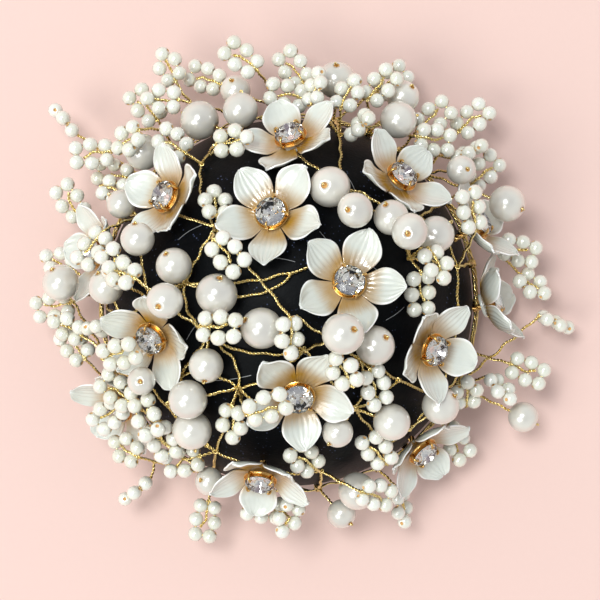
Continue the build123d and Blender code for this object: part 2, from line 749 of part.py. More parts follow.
def main():
    os.makedirs("parts", exist_ok=True)
    pieces = {"cap": make_cap(), "hair_pin": make_pin(), "rim_wire": make_rim_wire()}
    rim_balls = [ball((math.cos(a) * (cap_radius + 1), math.sin(a) * (cap_radius + 1), rim_wire_height), rim_wire_diameter / 2)
                 for a in np.linspace(0, 2 * math.pi, 300)]
    taken.take(np.vstack(rim_balls))

    petals = {form: make_petals(form) for form in FORMS}
    stone = make_stone()
    for number, (flower, plane, post_length) in enumerate(place_flowers(), 1):
        pieces[f"flower_{number:02d}_petals"] = plane.location * petals[flower.form]
        pieces[f"flower_{number:02d}_cup"] = plane.location * make_cup(post_length)
        pieces[f"flower_{number:02d}_stone"] = plane.location * stone

    places = place_knots()
    sprigs = {sprig_of(knot.name): {"pearls": [], "bead_loops": []} for knot in KNOTS}
    joints = []
    for pearl in PEARLS:
        found = settle(pearl, pearl.diameter / 2 + pearl_stand, pearl_body, places)
        if found:
            name, (centre, along, wire_end, _, _) = found
            sprigs[sprig_of(name)]["pearls"].append(make_pearl(pearl.diameter, centre, along))
            joints.append((name, wire_end))
    loops = {beads: make_loop(beads) for beads in {loop.beads for loop in LOOPS}}
    for loop in LOOPS:
        found = settle(loop, loop_stand, loop_body, places)
        if found:
            name, (plane, wire_end, _, _) = found
            sprigs[sprig_of(name)]["bead_loops"].append(plane.location * loops[loop.beads])
            joints.append((name, wire_end))
    for sprig, threaded in sprigs.items():
        roots = [knot.name for knot in KNOTS if not knot.grows_from and sprig_of(knot.name) == sprig]
        pieces[f"{sprig}_wires"] = Compound(children=[branch(root, places, joints) for root in roots])
        pieces[f"{sprig}_pearls"] = Compound(children=threaded["pearls"])
        pieces[f"{sprig}_bead_loops"] = Compound(children=threaded["bead_loops"])

    for node, piece in pieces.items():
        export_step(piece, f"parts/{node}.step")
        print(f"{node}: {len(piece.solids())} solids, {piece.volume:.1f} mm3")


main()
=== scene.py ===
# %% [markdown]
# # A hair bun cover, dressed piece by piece
# The object is a black cap that sits over a hair bun. Gold wire sprigs grow from a wire round its hem and carry
# large pearls, loops of small pearls and white five-petal flowers with a cut stone. The solids from the CAD side
# say where each piece is and how big it is. This lesson reads their places and gives each piece the shape and
# finish that the eye expects: twisted wire, ribbed petals, drilled pearls, faceted stones.

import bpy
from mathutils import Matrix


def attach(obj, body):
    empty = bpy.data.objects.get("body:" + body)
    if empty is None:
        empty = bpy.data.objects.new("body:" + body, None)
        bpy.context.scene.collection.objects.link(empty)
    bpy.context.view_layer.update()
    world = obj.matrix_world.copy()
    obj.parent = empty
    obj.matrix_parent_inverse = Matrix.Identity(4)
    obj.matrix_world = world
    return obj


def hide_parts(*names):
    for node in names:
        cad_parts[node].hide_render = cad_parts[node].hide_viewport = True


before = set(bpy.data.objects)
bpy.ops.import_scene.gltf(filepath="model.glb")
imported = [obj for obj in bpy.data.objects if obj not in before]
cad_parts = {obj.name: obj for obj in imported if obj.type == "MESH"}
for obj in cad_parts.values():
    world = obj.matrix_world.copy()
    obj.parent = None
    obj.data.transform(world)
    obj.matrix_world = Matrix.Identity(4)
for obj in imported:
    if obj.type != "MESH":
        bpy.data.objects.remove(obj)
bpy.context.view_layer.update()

# %% Modules and units
import math
import random

import bpy
import numpy as np
from mathutils import Matrix, Vector

MM = 0.001
chance = random.Random(11)
print(len(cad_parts), "CAD nodes")

# %% [markdown]
# ## Camera
# The picture was taken from straight above, from about half a metre, which is a normal distance for a small thing
# on a table. A long lens keeps the outer pieces from leaning away. The camera looks down the Z axis, so an
# unturned camera object is already right, and the picture's right is +X and its top is +Y. White pearls on pale
# card need clean whites, so the plain Standard view is used; a filmic one would grey them.

# %% Camera
CAMERA_HEIGHT = 520 * MM
camera_data = bpy.data.cameras.new("camera")
camera_data.lens = 117.0
camera_data.sensor_width = 36.0
camera_data.clip_start = 0.01
camera = bpy.data.objects.new("camera", camera_data)
camera.location = (2.9 * MM, 0.7 * MM, CAMERA_HEIGHT)
bpy.context.scene.collection.objects.link(camera)
bpy.context.scene.camera = camera
bpy.context.scene.view_settings.view_transform = "Standard"
print("camera height in millimetres:", round(camera.location.z / MM))

# %% [markdown]
# ## Reading places from the solids
# A CAD mesh comes in as loose triangles. To measure it, a copy is merged, so that neighbouring triangles share
# their corners, and then taken apart where nothing joins it. The copies are thrown away after they are read. This
# way a pearl that moves in the CAD moves here too. Only the knots, where several wires run into one block, have no
# clear middle to read, so they are given again as angles on the cap.

# %% Selection and copies
def pick_only(*pieces):
    """Make these the only selected objects, and the first one active."""
    bpy.ops.object.select_all(action="DESELECT")
    for piece in pieces:
        piece.select_set(True)
    bpy.context.view_layer.objects.active = pieces[0]


def active():
    return bpy.context.view_layer.objects.active


def edit_mode():
    bpy.ops.object.mode_set(mode="EDIT")


def object_mode():
    bpy.ops.object.mode_set(mode="OBJECT")


def edit_all():
    """Enter edit mode with everything selected."""
    edit_mode()
    bpy.ops.mesh.select_all(action="SELECT")


def new_object(name, data):
    """Object in the scene for a mesh, curve, light or camera."""
    piece = bpy.data.objects.new(name, data)
    bpy.context.scene.collection.objects.link(piece)
    return piece


def merged_copy(name):
    """Copy of a CAD node whose triangles share their corners."""
    copy = new_object("measure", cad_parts[name].data.copy())
    pick_only(copy)
    edit_all()
    bpy.ops.mesh.remove_doubles(threshold=0.002 * MM)
    object_mode()
    return copy


def throw_away(pieces):
    """Remove pieces and their meshes."""
    for piece in pieces:
        mesh = piece.data
        bpy.data.objects.remove(piece)
        bpy.data.meshes.remove(mesh)


# %% Points and flat faces of a mesh
def points_of(mesh):
    values = np.empty(3 * len(mesh.vertices))
    mesh.vertices.foreach_get("co", values)
    return values.reshape(-1, 3)


def loose_parts(name):
    """For each separate solid of a CAD node: its corners, and the centres and areas of its triangles."""
    merged_copy(name)
    edit_mode()
    bpy.ops.mesh.separate(type="LOOSE")
    object_mode()
    pieces = list(bpy.context.selected_objects)
    found = []
    for piece in pieces:
        centres = np.array([face.center for face in piece.data.polygons])
        areas = np.array([face.area for face in piece.data.polygons])
        found.append((points_of(piece.data), centres, areas))
    throw_away(pieces)
    return found


def flat_faces(name, fewest):
    """Centre, normal and size of each flat face with at least so many corners."""
    piece = merged_copy(name)
    edit_all()
    bpy.ops.mesh.dissolve_limited(angle_limit=math.radians(0.4))
    object_mode()
    points = points_of(piece.data)
    found = []
    for face in piece.data.polygons:
        if len(face.vertices) >= fewest:
            corners = points[list(face.vertices)]
            centre = corners.mean(axis=0)
            reach = np.linalg.norm(corners - centre, axis=1)
            found.append((centre, np.array(face.normal), reach.min(), reach.max()))
    throw_away([piece])
    return found


def unit(vector):
    return vector / np.linalg.norm(vector)


# %% Knots of the wire sprigs, as on the cap: compass angle, slope down from the crown, and the knot each grows from
CAP_RADIUS = 48.0 * MM
CAP_CENTRE = np.array([0.0, 0.0, 7.0 * MM])
KNOT_LIFT = 1.1 * MM
RIM_RADIUS = CAP_RADIUS + 1.0 * MM
RIM_HEIGHT = 9.6 * MM
ROOT = 84
KNOTS = {
    "left_a": ("", 176, ROOT), "left_b": ("left_a", 187, 56), "left_m": ("left_b", 178, 44),
    "left_c": ("left_m", 169, 31), "left_d": ("left_c", 134, 31), "left_e": ("", 152, ROOT),
    "left_f": ("left_e", 150, 62), "left_g": ("", 199, ROOT), "left_h": ("left_g", 208, 55),
    "left_i": ("left_h", 214, 40), "left_n": ("left_i", 203, 25), "left_j": ("", 163, ROOT),
    "left_k": ("", 187, ROOT), "left_l": ("", 212, ROOT), "back_a": ("", 127, ROOT),
    "back_b": ("back_a", 122, 56), "back_c": ("", 103, ROOT), "back_d": ("back_c", 106, 62),
    "back_i": ("", 90, ROOT), "back_j": ("", 114, ROOT), "back_k": ("", 139, ROOT),
    "back_l": ("", 65, ROOT), "right_n": ("", 44, ROOT), "back_e": ("", 76, ROOT),
    "back_f": ("back_e", 73, 64), "back_g": ("back_f", 66, 38), "back_h": ("", 54, ROOT),
    "right_a": ("", 33, ROOT), "right_b": ("right_a", 33, 52), "right_c": ("", 12, ROOT),
    "right_d": ("right_c", 12, 62), "right_l": ("right_b", 43, 42), "right_i": ("", 22, ROOT),
    "right_j": ("", 0, ROOT), "right_k": ("", 334, ROOT), "right_e": ("right_d", 20, 40),
    "right_f": ("", 345, ROOT), "right_g": ("right_f", 328, 66), "right_h": ("right_g", 325, 42),
    "right_m": ("right_h", 322, 26), "front_a": ("", 322, ROOT), "front_b": ("", 298, ROOT),
    "front_c": ("front_b", 304, 62), "front_d": ("front_c", 302, 38), "front_e": ("front_d", 290, 14),
    "front_f": ("", 279, ROOT), "front_g": ("front_f", 281, 61), "front_h": ("", 247, ROOT),
    "front_i": ("front_h", 244, 57), "front_j": ("front_i", 240, 29), "front_k": ("", 227, ROOT),
    "front_l": ("", 262, ROOT), "front_m": ("", 309, ROOT), "front_n": ("", 289, ROOT),
}


def on_cap(compass, slope, lift):
    """Point that stands this far out of the cap's skin."""
    c, s = math.radians(compass), math.radians(slope)
    out = np.array([math.sin(s) * math.cos(c), math.sin(s) * math.sin(c), math.cos(s)])
    return CAP_CENTRE + out * (CAP_RADIUS + lift)


KNOT_AT = {name: on_cap(compass, slope, KNOT_LIFT) for name, (_, compass, slope) in KNOTS.items()}
print(len(KNOT_AT), "knots")

# %% Where the wires end: small round flat faces of the wire solids
WIRE_RADIUS = 0.45 * MM
IN_LINE_WITHIN = 0.35 * MM
SPRIGS = ("left", "back", "right", "front")


def wire_ends(sprig):
    """Knot, end point and direction of each straight wire of a sprig."""
    found = []
    for centre, normal, nearest, farthest in flat_faces(sprig + "_wires", 8):
        if nearest < 0.9 * WIRE_RADIUS or farthest > 1.1 * WIRE_RADIUS:
            continue
        best = None
        for name, place in KNOT_AT.items():
            back = centre - place
            along = float(np.dot(back, normal))
            aside = np.linalg.norm(back - along * normal)
            if name.startswith(sprig) and along > 0 and aside < IN_LINE_WITHIN:
                if best is None or aside < best[0]:
                    best = (aside, name)
        if best:
            found.append((best[1], centre, normal))
    return found


ENDS = {sprig: wire_ends(sprig) for sprig in SPRIGS}
print("wire ends:", {sprig: len(ends) for sprig, ends in ENDS.items()})

# %% Where the pearls are: a ball fitted to each solid, and the wire that goes through it
def fitted_ball(points):
    """Centre and radius of the ball whose skin these points lie on."""
    rows = np.hstack([2 * points, np.ones((len(points), 1))])
    solution = np.linalg.lstsq(rows, (points ** 2).sum(axis=1), rcond=None)[0]
    centre = solution[:3]
    return centre, math.sqrt(solution[3] + centre @ centre)


PEARLS = {}
for sprig in SPRIGS:
    PEARLS[sprig] = []
    for points, _, _ in loose_parts(sprig + "_pearls"):
        centre, radius = fitted_ball(points)
        inside = [end for end in ENDS[sprig] if np.linalg.norm(end[1] - centre) < radius]
        knot, _, along = inside[0]
        PEARLS[sprig].append((knot, centre, radius, along))
        ENDS[sprig] = [end for end in ENDS[sprig] if end is not inside[0]]
print("pearls:", {sprig: len(found) for sprig, found in PEARLS.items()})

# %% Where the bead loops are: middle, plane, and the place of each bead
BEAD_PITCH = 3.88 * MM
# Skin of a CAD loop for each of its beads.
BEAD_AREA = 49.8 * MM ** 2
# How much further apart a loop's second pair of beads is than its first.
LOOP_BULGE = 1.3


def phase_of(x, y, weight, count):
    """Angle at which an outline that repeats this many times round a circle reaches furthest out."""
    angle = np.arctan2(y, x)
    total = np.sum(weight * np.exp(1j * count * angle))
    return float(np.angle(total)) / count


def loop_places(count):
    """Middles of a loop's beads: a ring pressed to a leaf, its mouth on +X and its tip on -X."""
    across = [BEAD_PITCH / 2, BEAD_PITCH / 2 * LOOP_BULGE] + ([BEAD_PITCH / 2] if count == 6 else [0.0])
    along = [0.0]
    for before, after in zip(across, across[1:]):
        along.append(along[-1] - math.sqrt(BEAD_PITCH ** 2 - (before - after) ** 2))
    one_side = list(zip(along, across))
    places = np.array(one_side + [(x, -y) for x, y in reversed(one_side) if y > 0])
    return places - np.array([places[:, 0].mean(), 0.0])


def read_loop(points, centres, areas, ends):
    """Stem end, middle, normal and bead middles of one loop. Its plane is where its skin spreads the least."""
    middle = (centres * areas[:, None]).sum(axis=0) / areas.sum()
    spread = ((centres - middle) * areas[:, None]).T @ (centres - middle)
    axes = np.linalg.eigh(spread)[1]
    normal, x_axis = axes[:, 0], axes[:, 2]
    count = int(round(areas.sum() / BEAD_AREA))
    end = min(ends, key=lambda entry: np.linalg.norm(entry[1] - middle))
    if np.dot(x_axis, end[1] - middle) < 0:
        x_axis = -x_axis
    y_axis = np.cross(normal, x_axis)
    beads = [middle + x * x_axis + y * y_axis for x, y in loop_places(count)]
    return end, middle, normal, beads


LOOPS = {}
for sprig in SPRIGS:
    LOOPS[sprig] = [read_loop(*part, ENDS[sprig]) for part in loose_parts(sprig + "_bead_loops")]
print("bead loops:", {sprig: len(found) for sprig, found in LOOPS.items()})

# %% [markdown]
# ## Materials
# A finish is built from what the real surface is. One function turns a colour as painters and printers write it
# into the linear values that light is reckoned in. One small function adds a node with its settings and links.
# Pattern sizes are given in millimetres, because a grain that is too large makes a small thing look like a toy.

# %% Node helpers
def linear(code):
    """Linear colour of an sRGB hex value."""
    parts = [int(code[i:i + 2], 16) / 255 for i in (1, 3, 5)]
    return tuple(p / 12.92 if p <= 0.04045 else ((p + 0.055) / 1.055) ** 2.4 for p in parts) + (1.0,)


def scale_for(size_in_mm):
    """Texture scale, in cells per metre, for a pattern of this size."""
    return 1.0 / (size_in_mm * MM)


def add_node(owner, kind, sockets=None, **settings):
    """Add a node to a material or world, set its settings, and link or set its sockets."""
    node = owner.node_tree.nodes.new(kind)
    for name, value in settings.items():
        setattr(node, name, value)
    for name, value in (sockets or {}).items():
        if isinstance(value, bpy.types.NodeSocket):
            owner.node_tree.links.new(value, node.inputs[name])
        else:
            node.inputs[name].default_value = value
    return node


def new_material(name):
    material = bpy.data.materials.new(name)
    material.use_nodes = True
    material.node_tree.nodes.clear()
    return material


def surface(material, relief=None, **sockets):
    """Shader of a material: relief is a height, its strength and depth in mm; socket names have _ for spaces."""
    named = {name.replace("_", " "): value for name, value in sockets.items()}
    if relief:
        height, strength, depth = relief
        bump = add_node(material, "ShaderNodeBump", {"Height": height, "Strength": strength, "Distance": depth * MM})
        named["Normal"] = bump.outputs["Normal"]
    shader = add_node(material, "ShaderNodeBsdfPrincipled", named)
    add_node(material, "ShaderNodeOutputMaterial", {"Surface": shader.outputs["BSDF"]})
    return material


# %% [markdown]
# ### Gold-plated wire
# Craft wire is brass or copper with a thin flash of gold, drawn through a die and twisted by hand. It is bright and
# pale, a little uneven where fingers and pliers touched it. A metal shader with a pale gold colour does this, with
# a roughness that wanders along the wire over a few millimetres.

# %% Wire material
FINE_RELIEF = 0.05


def mottled(name, light, deep, patch_mm, detail, **noise):
    """Start of a finish whose colour drifts between two tones: the material, its place, drift and colour."""
    material = new_material(name)
    place = add_node(material, "ShaderNodeTexCoord").outputs["Object"]
    drift = add_node(material, "ShaderNodeTexNoise", {"Vector": place, "Scale": scale_for(patch_mm),
                     "Detail": detail, **noise}).outputs["Fac"]
    colour = add_node(material, "ShaderNodeMix", {0: drift, 6: linear(light), 7: linear(deep)}, data_type="RGBA")
    return material, place, drift, colour.outputs[2]


def metal(name, pale, deep, rough_low, rough_high, patch_mm, scratch_mm, bump):
    """Plated metal whose colour and polish wander in patches."""
    material, place, drift, colour = mottled(name, pale, deep, patch_mm, detail=3.0)
    fine = add_node(material, "ShaderNodeTexNoise", {"Vector": place, "Scale": scale_for(scratch_mm), "Detail": 2.0})
    rough = add_node(material, "ShaderNodeMapRange", {"Value": drift, "From Min": 0.3, "From Max": 0.7,
                     "To Min": rough_low, "To Max": rough_high})
    return surface(material, (fine.outputs["Fac"], bump, FINE_RELIEF), Base_Color=colour, Metallic=1.0,
                   Roughness=rough.outputs["Result"])


# Drawn brass wire with a pale gold flash; patches of 4 mm are where it was held while it was twisted.
wire_metal = metal("gold_plated_brass_wire", "#FFEFB4", "#DDBD68", rough_low=0.14, rough_high=0.32, patch_mm=4.0,
                   scratch_mm=0.25, bump=0.2)
print("made", wire_metal.name)

# %% [markdown]
# ## Twisted wire
# Each sprig is a thin wire folded double and twisted, so that two strands wind round each other like a cord. It
# could be a normal map on a straight tube, but the twist shows in the outline too. So each strand is a curve: it
# winds round the line of the CAD wire, with a small bow, since no hand bends wire dead straight.

# %% Lines and strands
STRAND_RADIUS = 0.21 * MM
TWIST = 2.0 * MM
STEP = 0.27 * MM
# A hand-laid wire swings this far off its line, about once in each of these lengths.
BEND_REACH = 0.32 * MM
BEND_EVERY = 9.0 * MM


def way_along(points):
    """Length of a line up to each of its points."""
    return np.concatenate([[0.0], np.cumsum(np.linalg.norm(np.diff(points, axis=0), axis=1))])


def evenly(points, step):
    """Points spaced evenly along a line of points."""
    points = np.asarray(points)
    lengths = way_along(points)
    count = max(3, int(round(lengths[-1] / step)) + 1)
    at = np.linspace(0.0, lengths[-1], count)
    return np.stack([np.interp(at, lengths, points[:, axis]) for axis in range(3)], axis=1)


def side_axes(points):
    """Two directions across a line at each of its points, carried along without turning."""
    along = np.gradient(points, axis=0)
    along /= np.linalg.norm(along, axis=1)[:, None]
    # Any direction that no wire starts in.
    side = np.cross(along[0], [0.3, 0.5, 0.81])
    sides = []
    for direction in along:
        side = side - direction * np.dot(side, direction)
        side = side / np.linalg.norm(side)
        sides.append(side)
    sides = np.array(sides)
    return sides, np.cross(along, sides)


def wound(points, away, twist, start):
    """Line that winds round another one at a distance."""
    across, up = side_axes(points)
    angle = start + math.tau * way_along(points) / twist
    return points + away * (np.cos(angle)[:, None] * across + np.sin(angle)[:, None] * up)


def hand_bent(line):
    """Line with small uneven bends, still at both ends."""
    across, up = side_axes(line)
    share = np.linspace(0.0, 1.0, len(line))
    reach = min(BEND_REACH, 0.02 * STEP * len(line)) * np.sin(math.pi * share) ** 0.5
    bends = 1.2 + STEP * len(line) / BEND_EVERY
    first = reach * np.sin(share * math.tau * bends + chance.uniform(0, 6)) * chance.uniform(0.5, 1.0)
    second = reach * np.sin(share * math.tau * bends * 0.7 + chance.uniform(0, 6)) * chance.uniform(0.3, 0.8)
    return line + first[:, None] * across + second[:, None] * up


def pair(points):
    """Two strands that wind round each other along a line."""
    line = hand_bent(evenly(points, STEP))
    start = chance.uniform(0, math.tau)
    twist = TWIST * chance.uniform(0.85, 1.2)
    return [wound(line, STRAND_RADIUS, twist, start), wound(line, STRAND_RADIUS, twist, start + math.pi)]


def bowed(start, end, share):
    """Line between two points with a small bow away from the cap."""
    middle = (start + end) / 2
    out = unit(middle - CAP_CENTRE)
    side = unit(np.cross(end - start, out) + 1e-9)
    length = np.linalg.norm(end - start)
    bow = length * share * (chance.uniform(-1, 1) * side + chance.uniform(0, 0.6) * out)
    t = np.linspace(0, 1, 12)[:, None]
    return start + (end - start) * t + bow * 4 * t * (1 - t)


# %% Curves into a mesh piece
def tubes(name, lines, radius):
    """One mesh of round tubes along the given lines."""
    curve = bpy.data.curves.new(name, "CURVE")
    curve.dimensions = "3D"
    curve.bevel_depth = radius
    curve.bevel_resolution = 1
    curve.use_fill_caps = True
    for line in lines:
        spline = curve.splines.new("POLY")
        spline.points.add(len(line) - 1)
        spline.points.foreach_set("co", np.hstack([line, np.ones((len(line), 1))]).ravel())
    pick_only(new_object(name, curve))
    bpy.ops.object.convert(target="MESH")
    bpy.ops.object.shade_smooth()
    return active()


def dress(piece, slot, *materials, stands_for=()):
    """Give a finished piece its body, hide the CAD nodes it stands for, and add the given materials."""
    for material in materials:
        piece.data.materials.append(material)
    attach(piece, "root")
    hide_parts(*stands_for)
    triangles = sum(len(face.vertices) - 2 for face in piece.data.polygons)
    print(f"{piece.name}: {triangles} triangles")
    return piece


# %% Lines of one sprig
# Where a wire is wrapped on another one: radius and turns of the coil, and the pitch of both kinds.
RIM_COIL, RIM_COIL_TURNS = 0.95 * MM, 4.2
KNOT_COIL, KNOT_COIL_TURNS = 0.52 * MM, 3.6
COIL_PITCH = 0.42 * MM
# Inside pearls and beads a strand hardly shows, so its points stand further apart.
PEARL_STEP, LOOP_STEP = 1.0 * MM, 0.9 * MM
# Way of a strand out of a pearl's far hole and back in: forward and aside, in mm.
TUCK = [(0.35, 0.05), (0.5, 0.3), (0.3, 0.55), (-0.3, 0.6)]


def arc_between(start, end, count, lift, rise=0.0):
    """Line over the cap between two places, this far off its skin and with this much more in the middle."""
    points = []
    for share in np.linspace(0.0, 1.0, count):
        direction = unit((start - CAP_CENTRE) * (1 - share) + (end - CAP_CENTRE) * share)
        points.append(CAP_CENTRE + direction * (CAP_RADIUS + lift + rise * math.sin(math.pi * share)))
    return np.array(points)


def coil(centre, axis, radius, turns):
    """Close winding round an axis, as where one wire is wrapped on another."""
    count = int(turns * 10)
    line = centre + np.outer(np.linspace(-0.5, 0.5, count) * turns * COIL_PITCH, axis)
    across, up = side_axes(line)
    angle = np.linspace(0, turns * math.tau, count)[:, None]
    return line + radius * (np.cos(angle) * across + np.sin(angle) * up)


def pearl_wire(centre, radius, along):
    """One strand up through a pearl; out at its far hole it is bent over and pushed back in."""
    near, far = centre - along * (radius + 0.1 * MM), centre + along * radius
    # A small lean, so that a wire which stands straight out of the cap has a side too.
    side = unit(np.cross(along, unit(centre - CAP_CENTRE) + 0.2 * np.array([0.3, -0.5, 0.2])))
    tuck = [far + (along * forward + side * aside) * MM for forward, aside in TUCK]
    return np.vstack([evenly([near, far], PEARL_STEP), tuck])


def loop_wire(end, beads):
    """One strand from the stem through all beads and back to the stem."""
    return evenly(np.vstack([[end], beads, [end]]), LOOP_STEP)


def loop_tie(end, middle, normal, beads):
    """Twisted tail of the stem that is laid over the middle of a loop and caught behind its tip."""
    tip = max(beads, key=lambda place: np.linalg.norm(place - end))
    rise = normal * chance.choice([-1, 1]) * chance.uniform(0.4, 0.9) * MM
    return pair(np.array([end, (end + middle) / 2 + rise, middle + rise, (middle + tip) / 2]))


def sprig_lines(sprig):
    """Strands of one sprig: between knots, down to the rim, and out to its pearls and loops."""
    lines = []
    for name, (parent, _, _) in KNOTS.items():
        if not name.startswith(sprig):
            continue
        place = KNOT_AT[name]
        out = unit(place - CAP_CENTRE)
        if parent:
            lines += pair(arc_between(KNOT_AT[parent], place, 24, KNOT_LIFT))
            axis = unit(place - KNOT_AT[parent])
        else:
            rim = unit(np.array([place[0], place[1], 0.0])) * RIM_RADIUS
            rim = rim + np.array([0, 0, RIM_HEIGHT])
            axis = unit(np.cross(out, [0, 0, 1]))
            lines.append(coil(rim, axis, RIM_COIL, RIM_COIL_TURNS))
            lines += pair(np.array([rim, (rim + place) / 2 + out * 0.3 * MM, place]))
        lines.append(coil(place, unit(axis + 0.4 * out), KNOT_COIL, KNOT_COIL_TURNS))
    for knot, centre, radius, along in PEARLS[sprig]:
        lines += pair(bowed(KNOT_AT[knot], centre - along * radius, 0.02))
        lines.append(pearl_wire(centre, radius, along))
    for (knot, end, _), _, _, _ in LOOPS[sprig]:
        lines += pair(bowed(KNOT_AT[knot], end, 0.03))
    return lines


# %% [markdown]
# ## Bead loops
# A short length of wire is threaded with five or six small imitation pearls and closed to a ring, and its two ends
# are twisted into the stem. Hundreds of beads have to stay light, so one bead of a few dozen faces is shaped once:
# a ball whose poles are inset and pushed in for the drill hole. Each copy gets its own size and a small shift,
# since beads on a wire never lie in a perfect ring.

# %% [markdown]
# ### Lacquered beads
# Small imitation pearls are moulded acrylic, dipped in a lacquer with fine pearl pigment. They are whiter than the
# large ones, with a hard bright highlight. The lacquer runs thin at the hole, so the plastic shows there.

# %% Bead and drill hole materials
def pearl_lacquer(name, light, warm, patch_mm, roughness, ior, skin_mm, depth_mm):
    """Pearl skin: two close whites in soft patches under a clear coat. Its flaky pigment reflects more than lacquer
    alone, so the index is higher."""
    material = new_material(name)
    place = add_node(material, "ShaderNodeTexCoord").outputs["Object"]
    patch = add_node(material, "ShaderNodeTexNoise", {"Vector": place, "Scale": scale_for(patch_mm), "Detail": 2.0})
    ramp = add_node(material, "ShaderNodeMapRange", {"Value": patch.outputs["Fac"], "From Min": 0.35,
                    "From Max": 0.65})
    colour = add_node(material, "ShaderNodeMix", {0: ramp.outputs["Result"], 6: linear(light), 7: linear(warm)},
                      data_type="RGBA")
    skin = add_node(material, "ShaderNodeTexNoise", {"Vector": place, "Scale": scale_for(skin_mm), "Detail": 4.0})
    return surface(material, (skin.outputs["Fac"], 0.12, FINE_RELIEF), Base_Color=colour.outputs[2],
                   Roughness=roughness, IOR=ior, Subsurface_Weight=0.15, Subsurface_Radius=(1.0, 0.92, 0.82),
                   Subsurface_Scale=depth_mm * MM, Coat_Weight=1.0, Coat_Roughness=0.10, Coat_IOR=1.65,
                   Sheen_Weight=0.35, Sheen_Roughness=0.3, Sheen_Tint=linear("#FFF0D6"))


# White acrylic under pearl lacquer; patches of 9 mm make one bead a little warmer than its neighbour.
bead_skin = pearl_lacquer("pearl_lacquered_acrylic_bead", "#EFF0E6", "#E3E3D3", patch_mm=9.0, roughness=0.18,
                          ior=2.0, skin_mm=0.6, depth_mm=0.6)

# Bare resin at the edge of a drill hole, amber where the varnish has pooled.
drill_edge, _, _, amber = mottled("amber_resin_at_drill_hole", "#EDC384", "#C99850", patch_mm=0.7, detail=2.0)
surface(drill_edge, Base_Color=amber, Roughness=0.45, IOR=1.5)
print("made", bead_skin.name, "and", drill_edge.name)

# %% One bead
BEAD_RADIUS = 1.97 * MM


def cap_height(piece, side):
    """Height of the face at one pole above the middle."""
    piece.update_from_editmode()
    return max(side * face.center.z for face in piece.data.polygons)


def drilled_ball(name, skin, radius, segments, rings, mouth, hole, depth):
    """Ball along Z with a drilled hole: a bevelled mouth, then the hole's wall and floor."""
    bpy.ops.object.select_all(action="DESELECT")
    bpy.ops.mesh.primitive_uv_sphere_add(segments=segments, ring_count=rings, radius=radius)
    piece = active()
    piece.name = name
    piece.data.materials.append(skin)
    piece.data.materials.append(drill_edge)
    for side in (1, -1):
        edit_mode()
        bpy.ops.mesh.select_all(action="DESELECT")
        bpy.ops.mesh.select_mode(type="VERT")
        object_mode()
        pole = max(piece.data.vertices, key=lambda vertex: side * vertex.co.z)
        pole.select = True
        edit_mode()
        bpy.ops.mesh.dissolve_verts()
        bpy.ops.mesh.select_all(action="DESELECT")
        bpy.ops.mesh.select_mode(type="FACE")
        object_mode()
        cap = max(piece.data.polygons, key=lambda face: side * face.center.z)
        ring = (Vector(piece.data.vertices[cap.vertices[0]].co) - Vector(cap.center)).length
        cap.select = True
        edit_mode()
        bpy.ops.mesh.inset(thickness=ring - mouth)
        bpy.ops.transform.translate(value=(0, 0, side * (math.sqrt(radius ** 2 - mouth ** 2) * 0.995
                                                         - cap_height(piece, side))))
        bpy.ops.mesh.extrude_region_move(TRANSFORM_OT_translate={"value": (0, 0, -side * depth)})
        bpy.ops.transform.resize(value=(hole / mouth, hole / mouth, 1.0))
        object_mode()
    for face in piece.data.polygons:
        inside = max(math.hypot(*piece.data.vertices[v].co.xy) for v in face.vertices) < mouth * 1.02
        face.material_index = 1 if inside else 0
    pick_only(piece)
    bpy.ops.object.shade_smooth()
    return piece


bead = drilled_ball("bead_pattern", bead_skin, BEAD_RADIUS, segments=10, rings=6, mouth=0.5 * MM, hole=0.4 * MM,
                    depth=0.5 * MM)
print("faces of a bead:", len(bead.data.polygons))

# %% Copies in place
def turned_to(direction, at, size):
    """Matrix that sets a pattern's Z axis along a direction, at a place and size."""
    turn = Vector(direction).to_track_quat("Z", "Y").to_matrix().to_4x4()
    return Matrix.Translation(Vector(at)) @ turn @ Matrix.Rotation(chance.uniform(0, 6.28), 4, "Z") @ size


def copy_of(pattern, matrix):
    """Copy of a pattern with its own mesh, its place worked into the mesh."""
    piece = new_object(pattern.name, pattern.data.copy())
    piece.data.transform(matrix)
    return piece


def joined(name, pieces):
    """Pieces made one, with this name."""
    pick_only(*pieces)
    bpy.ops.object.join()
    piece = active()
    piece.name = name
    piece.data.name = name
    return piece


def make_beads(sprig):
    """All beads of a sprig as one piece, and the strands that run through and over its loops."""
    copies = []
    threads = []
    for (_, end, _), middle, normal, beads in LOOPS[sprig]:
        moved = []
        for place in beads:
            out = unit(place - middle)
            moved.append(place + normal * chance.uniform(-0.3, 0.3) * MM + out * chance.uniform(-0.15, 0.1) * MM)
        round_trip = [end] + moved + [end]
        for i, place in enumerate(moved, 1):
            hole = unit(round_trip[i + 1] - round_trip[i - 1])
            size = Matrix.Diagonal((chance.uniform(0.95, 1.0),) * 2 + (chance.uniform(0.93, 1.0), 1.0))
            copies.append(copy_of(bead, turned_to(hole, place, size)))
        threads.append(loop_wire(end, moved))
        threads += loop_tie(end, middle, normal, moved)
    return joined(sprig + "_bead_loops_detail", copies), threads


BEADS = {sprig: make_beads(sprig) for sprig in SPRIGS}
print("beads placed:", sum(len(loop[3]) for found in LOOPS.values() for loop in found))

for sprig in SPRIGS:
    dress(BEADS[sprig][0], "bead_white", stands_for=[sprig + "_bead_loops"])

# %% [markdown]
# ## Bare wires over the cap
# Between the sprigs some wires run bare over the black. They could be pieces of their own, but they are wound on the
# same knots, so they join the wires of their sprig. Each one is a smooth arc through a knot, one point between and
# where it ends.

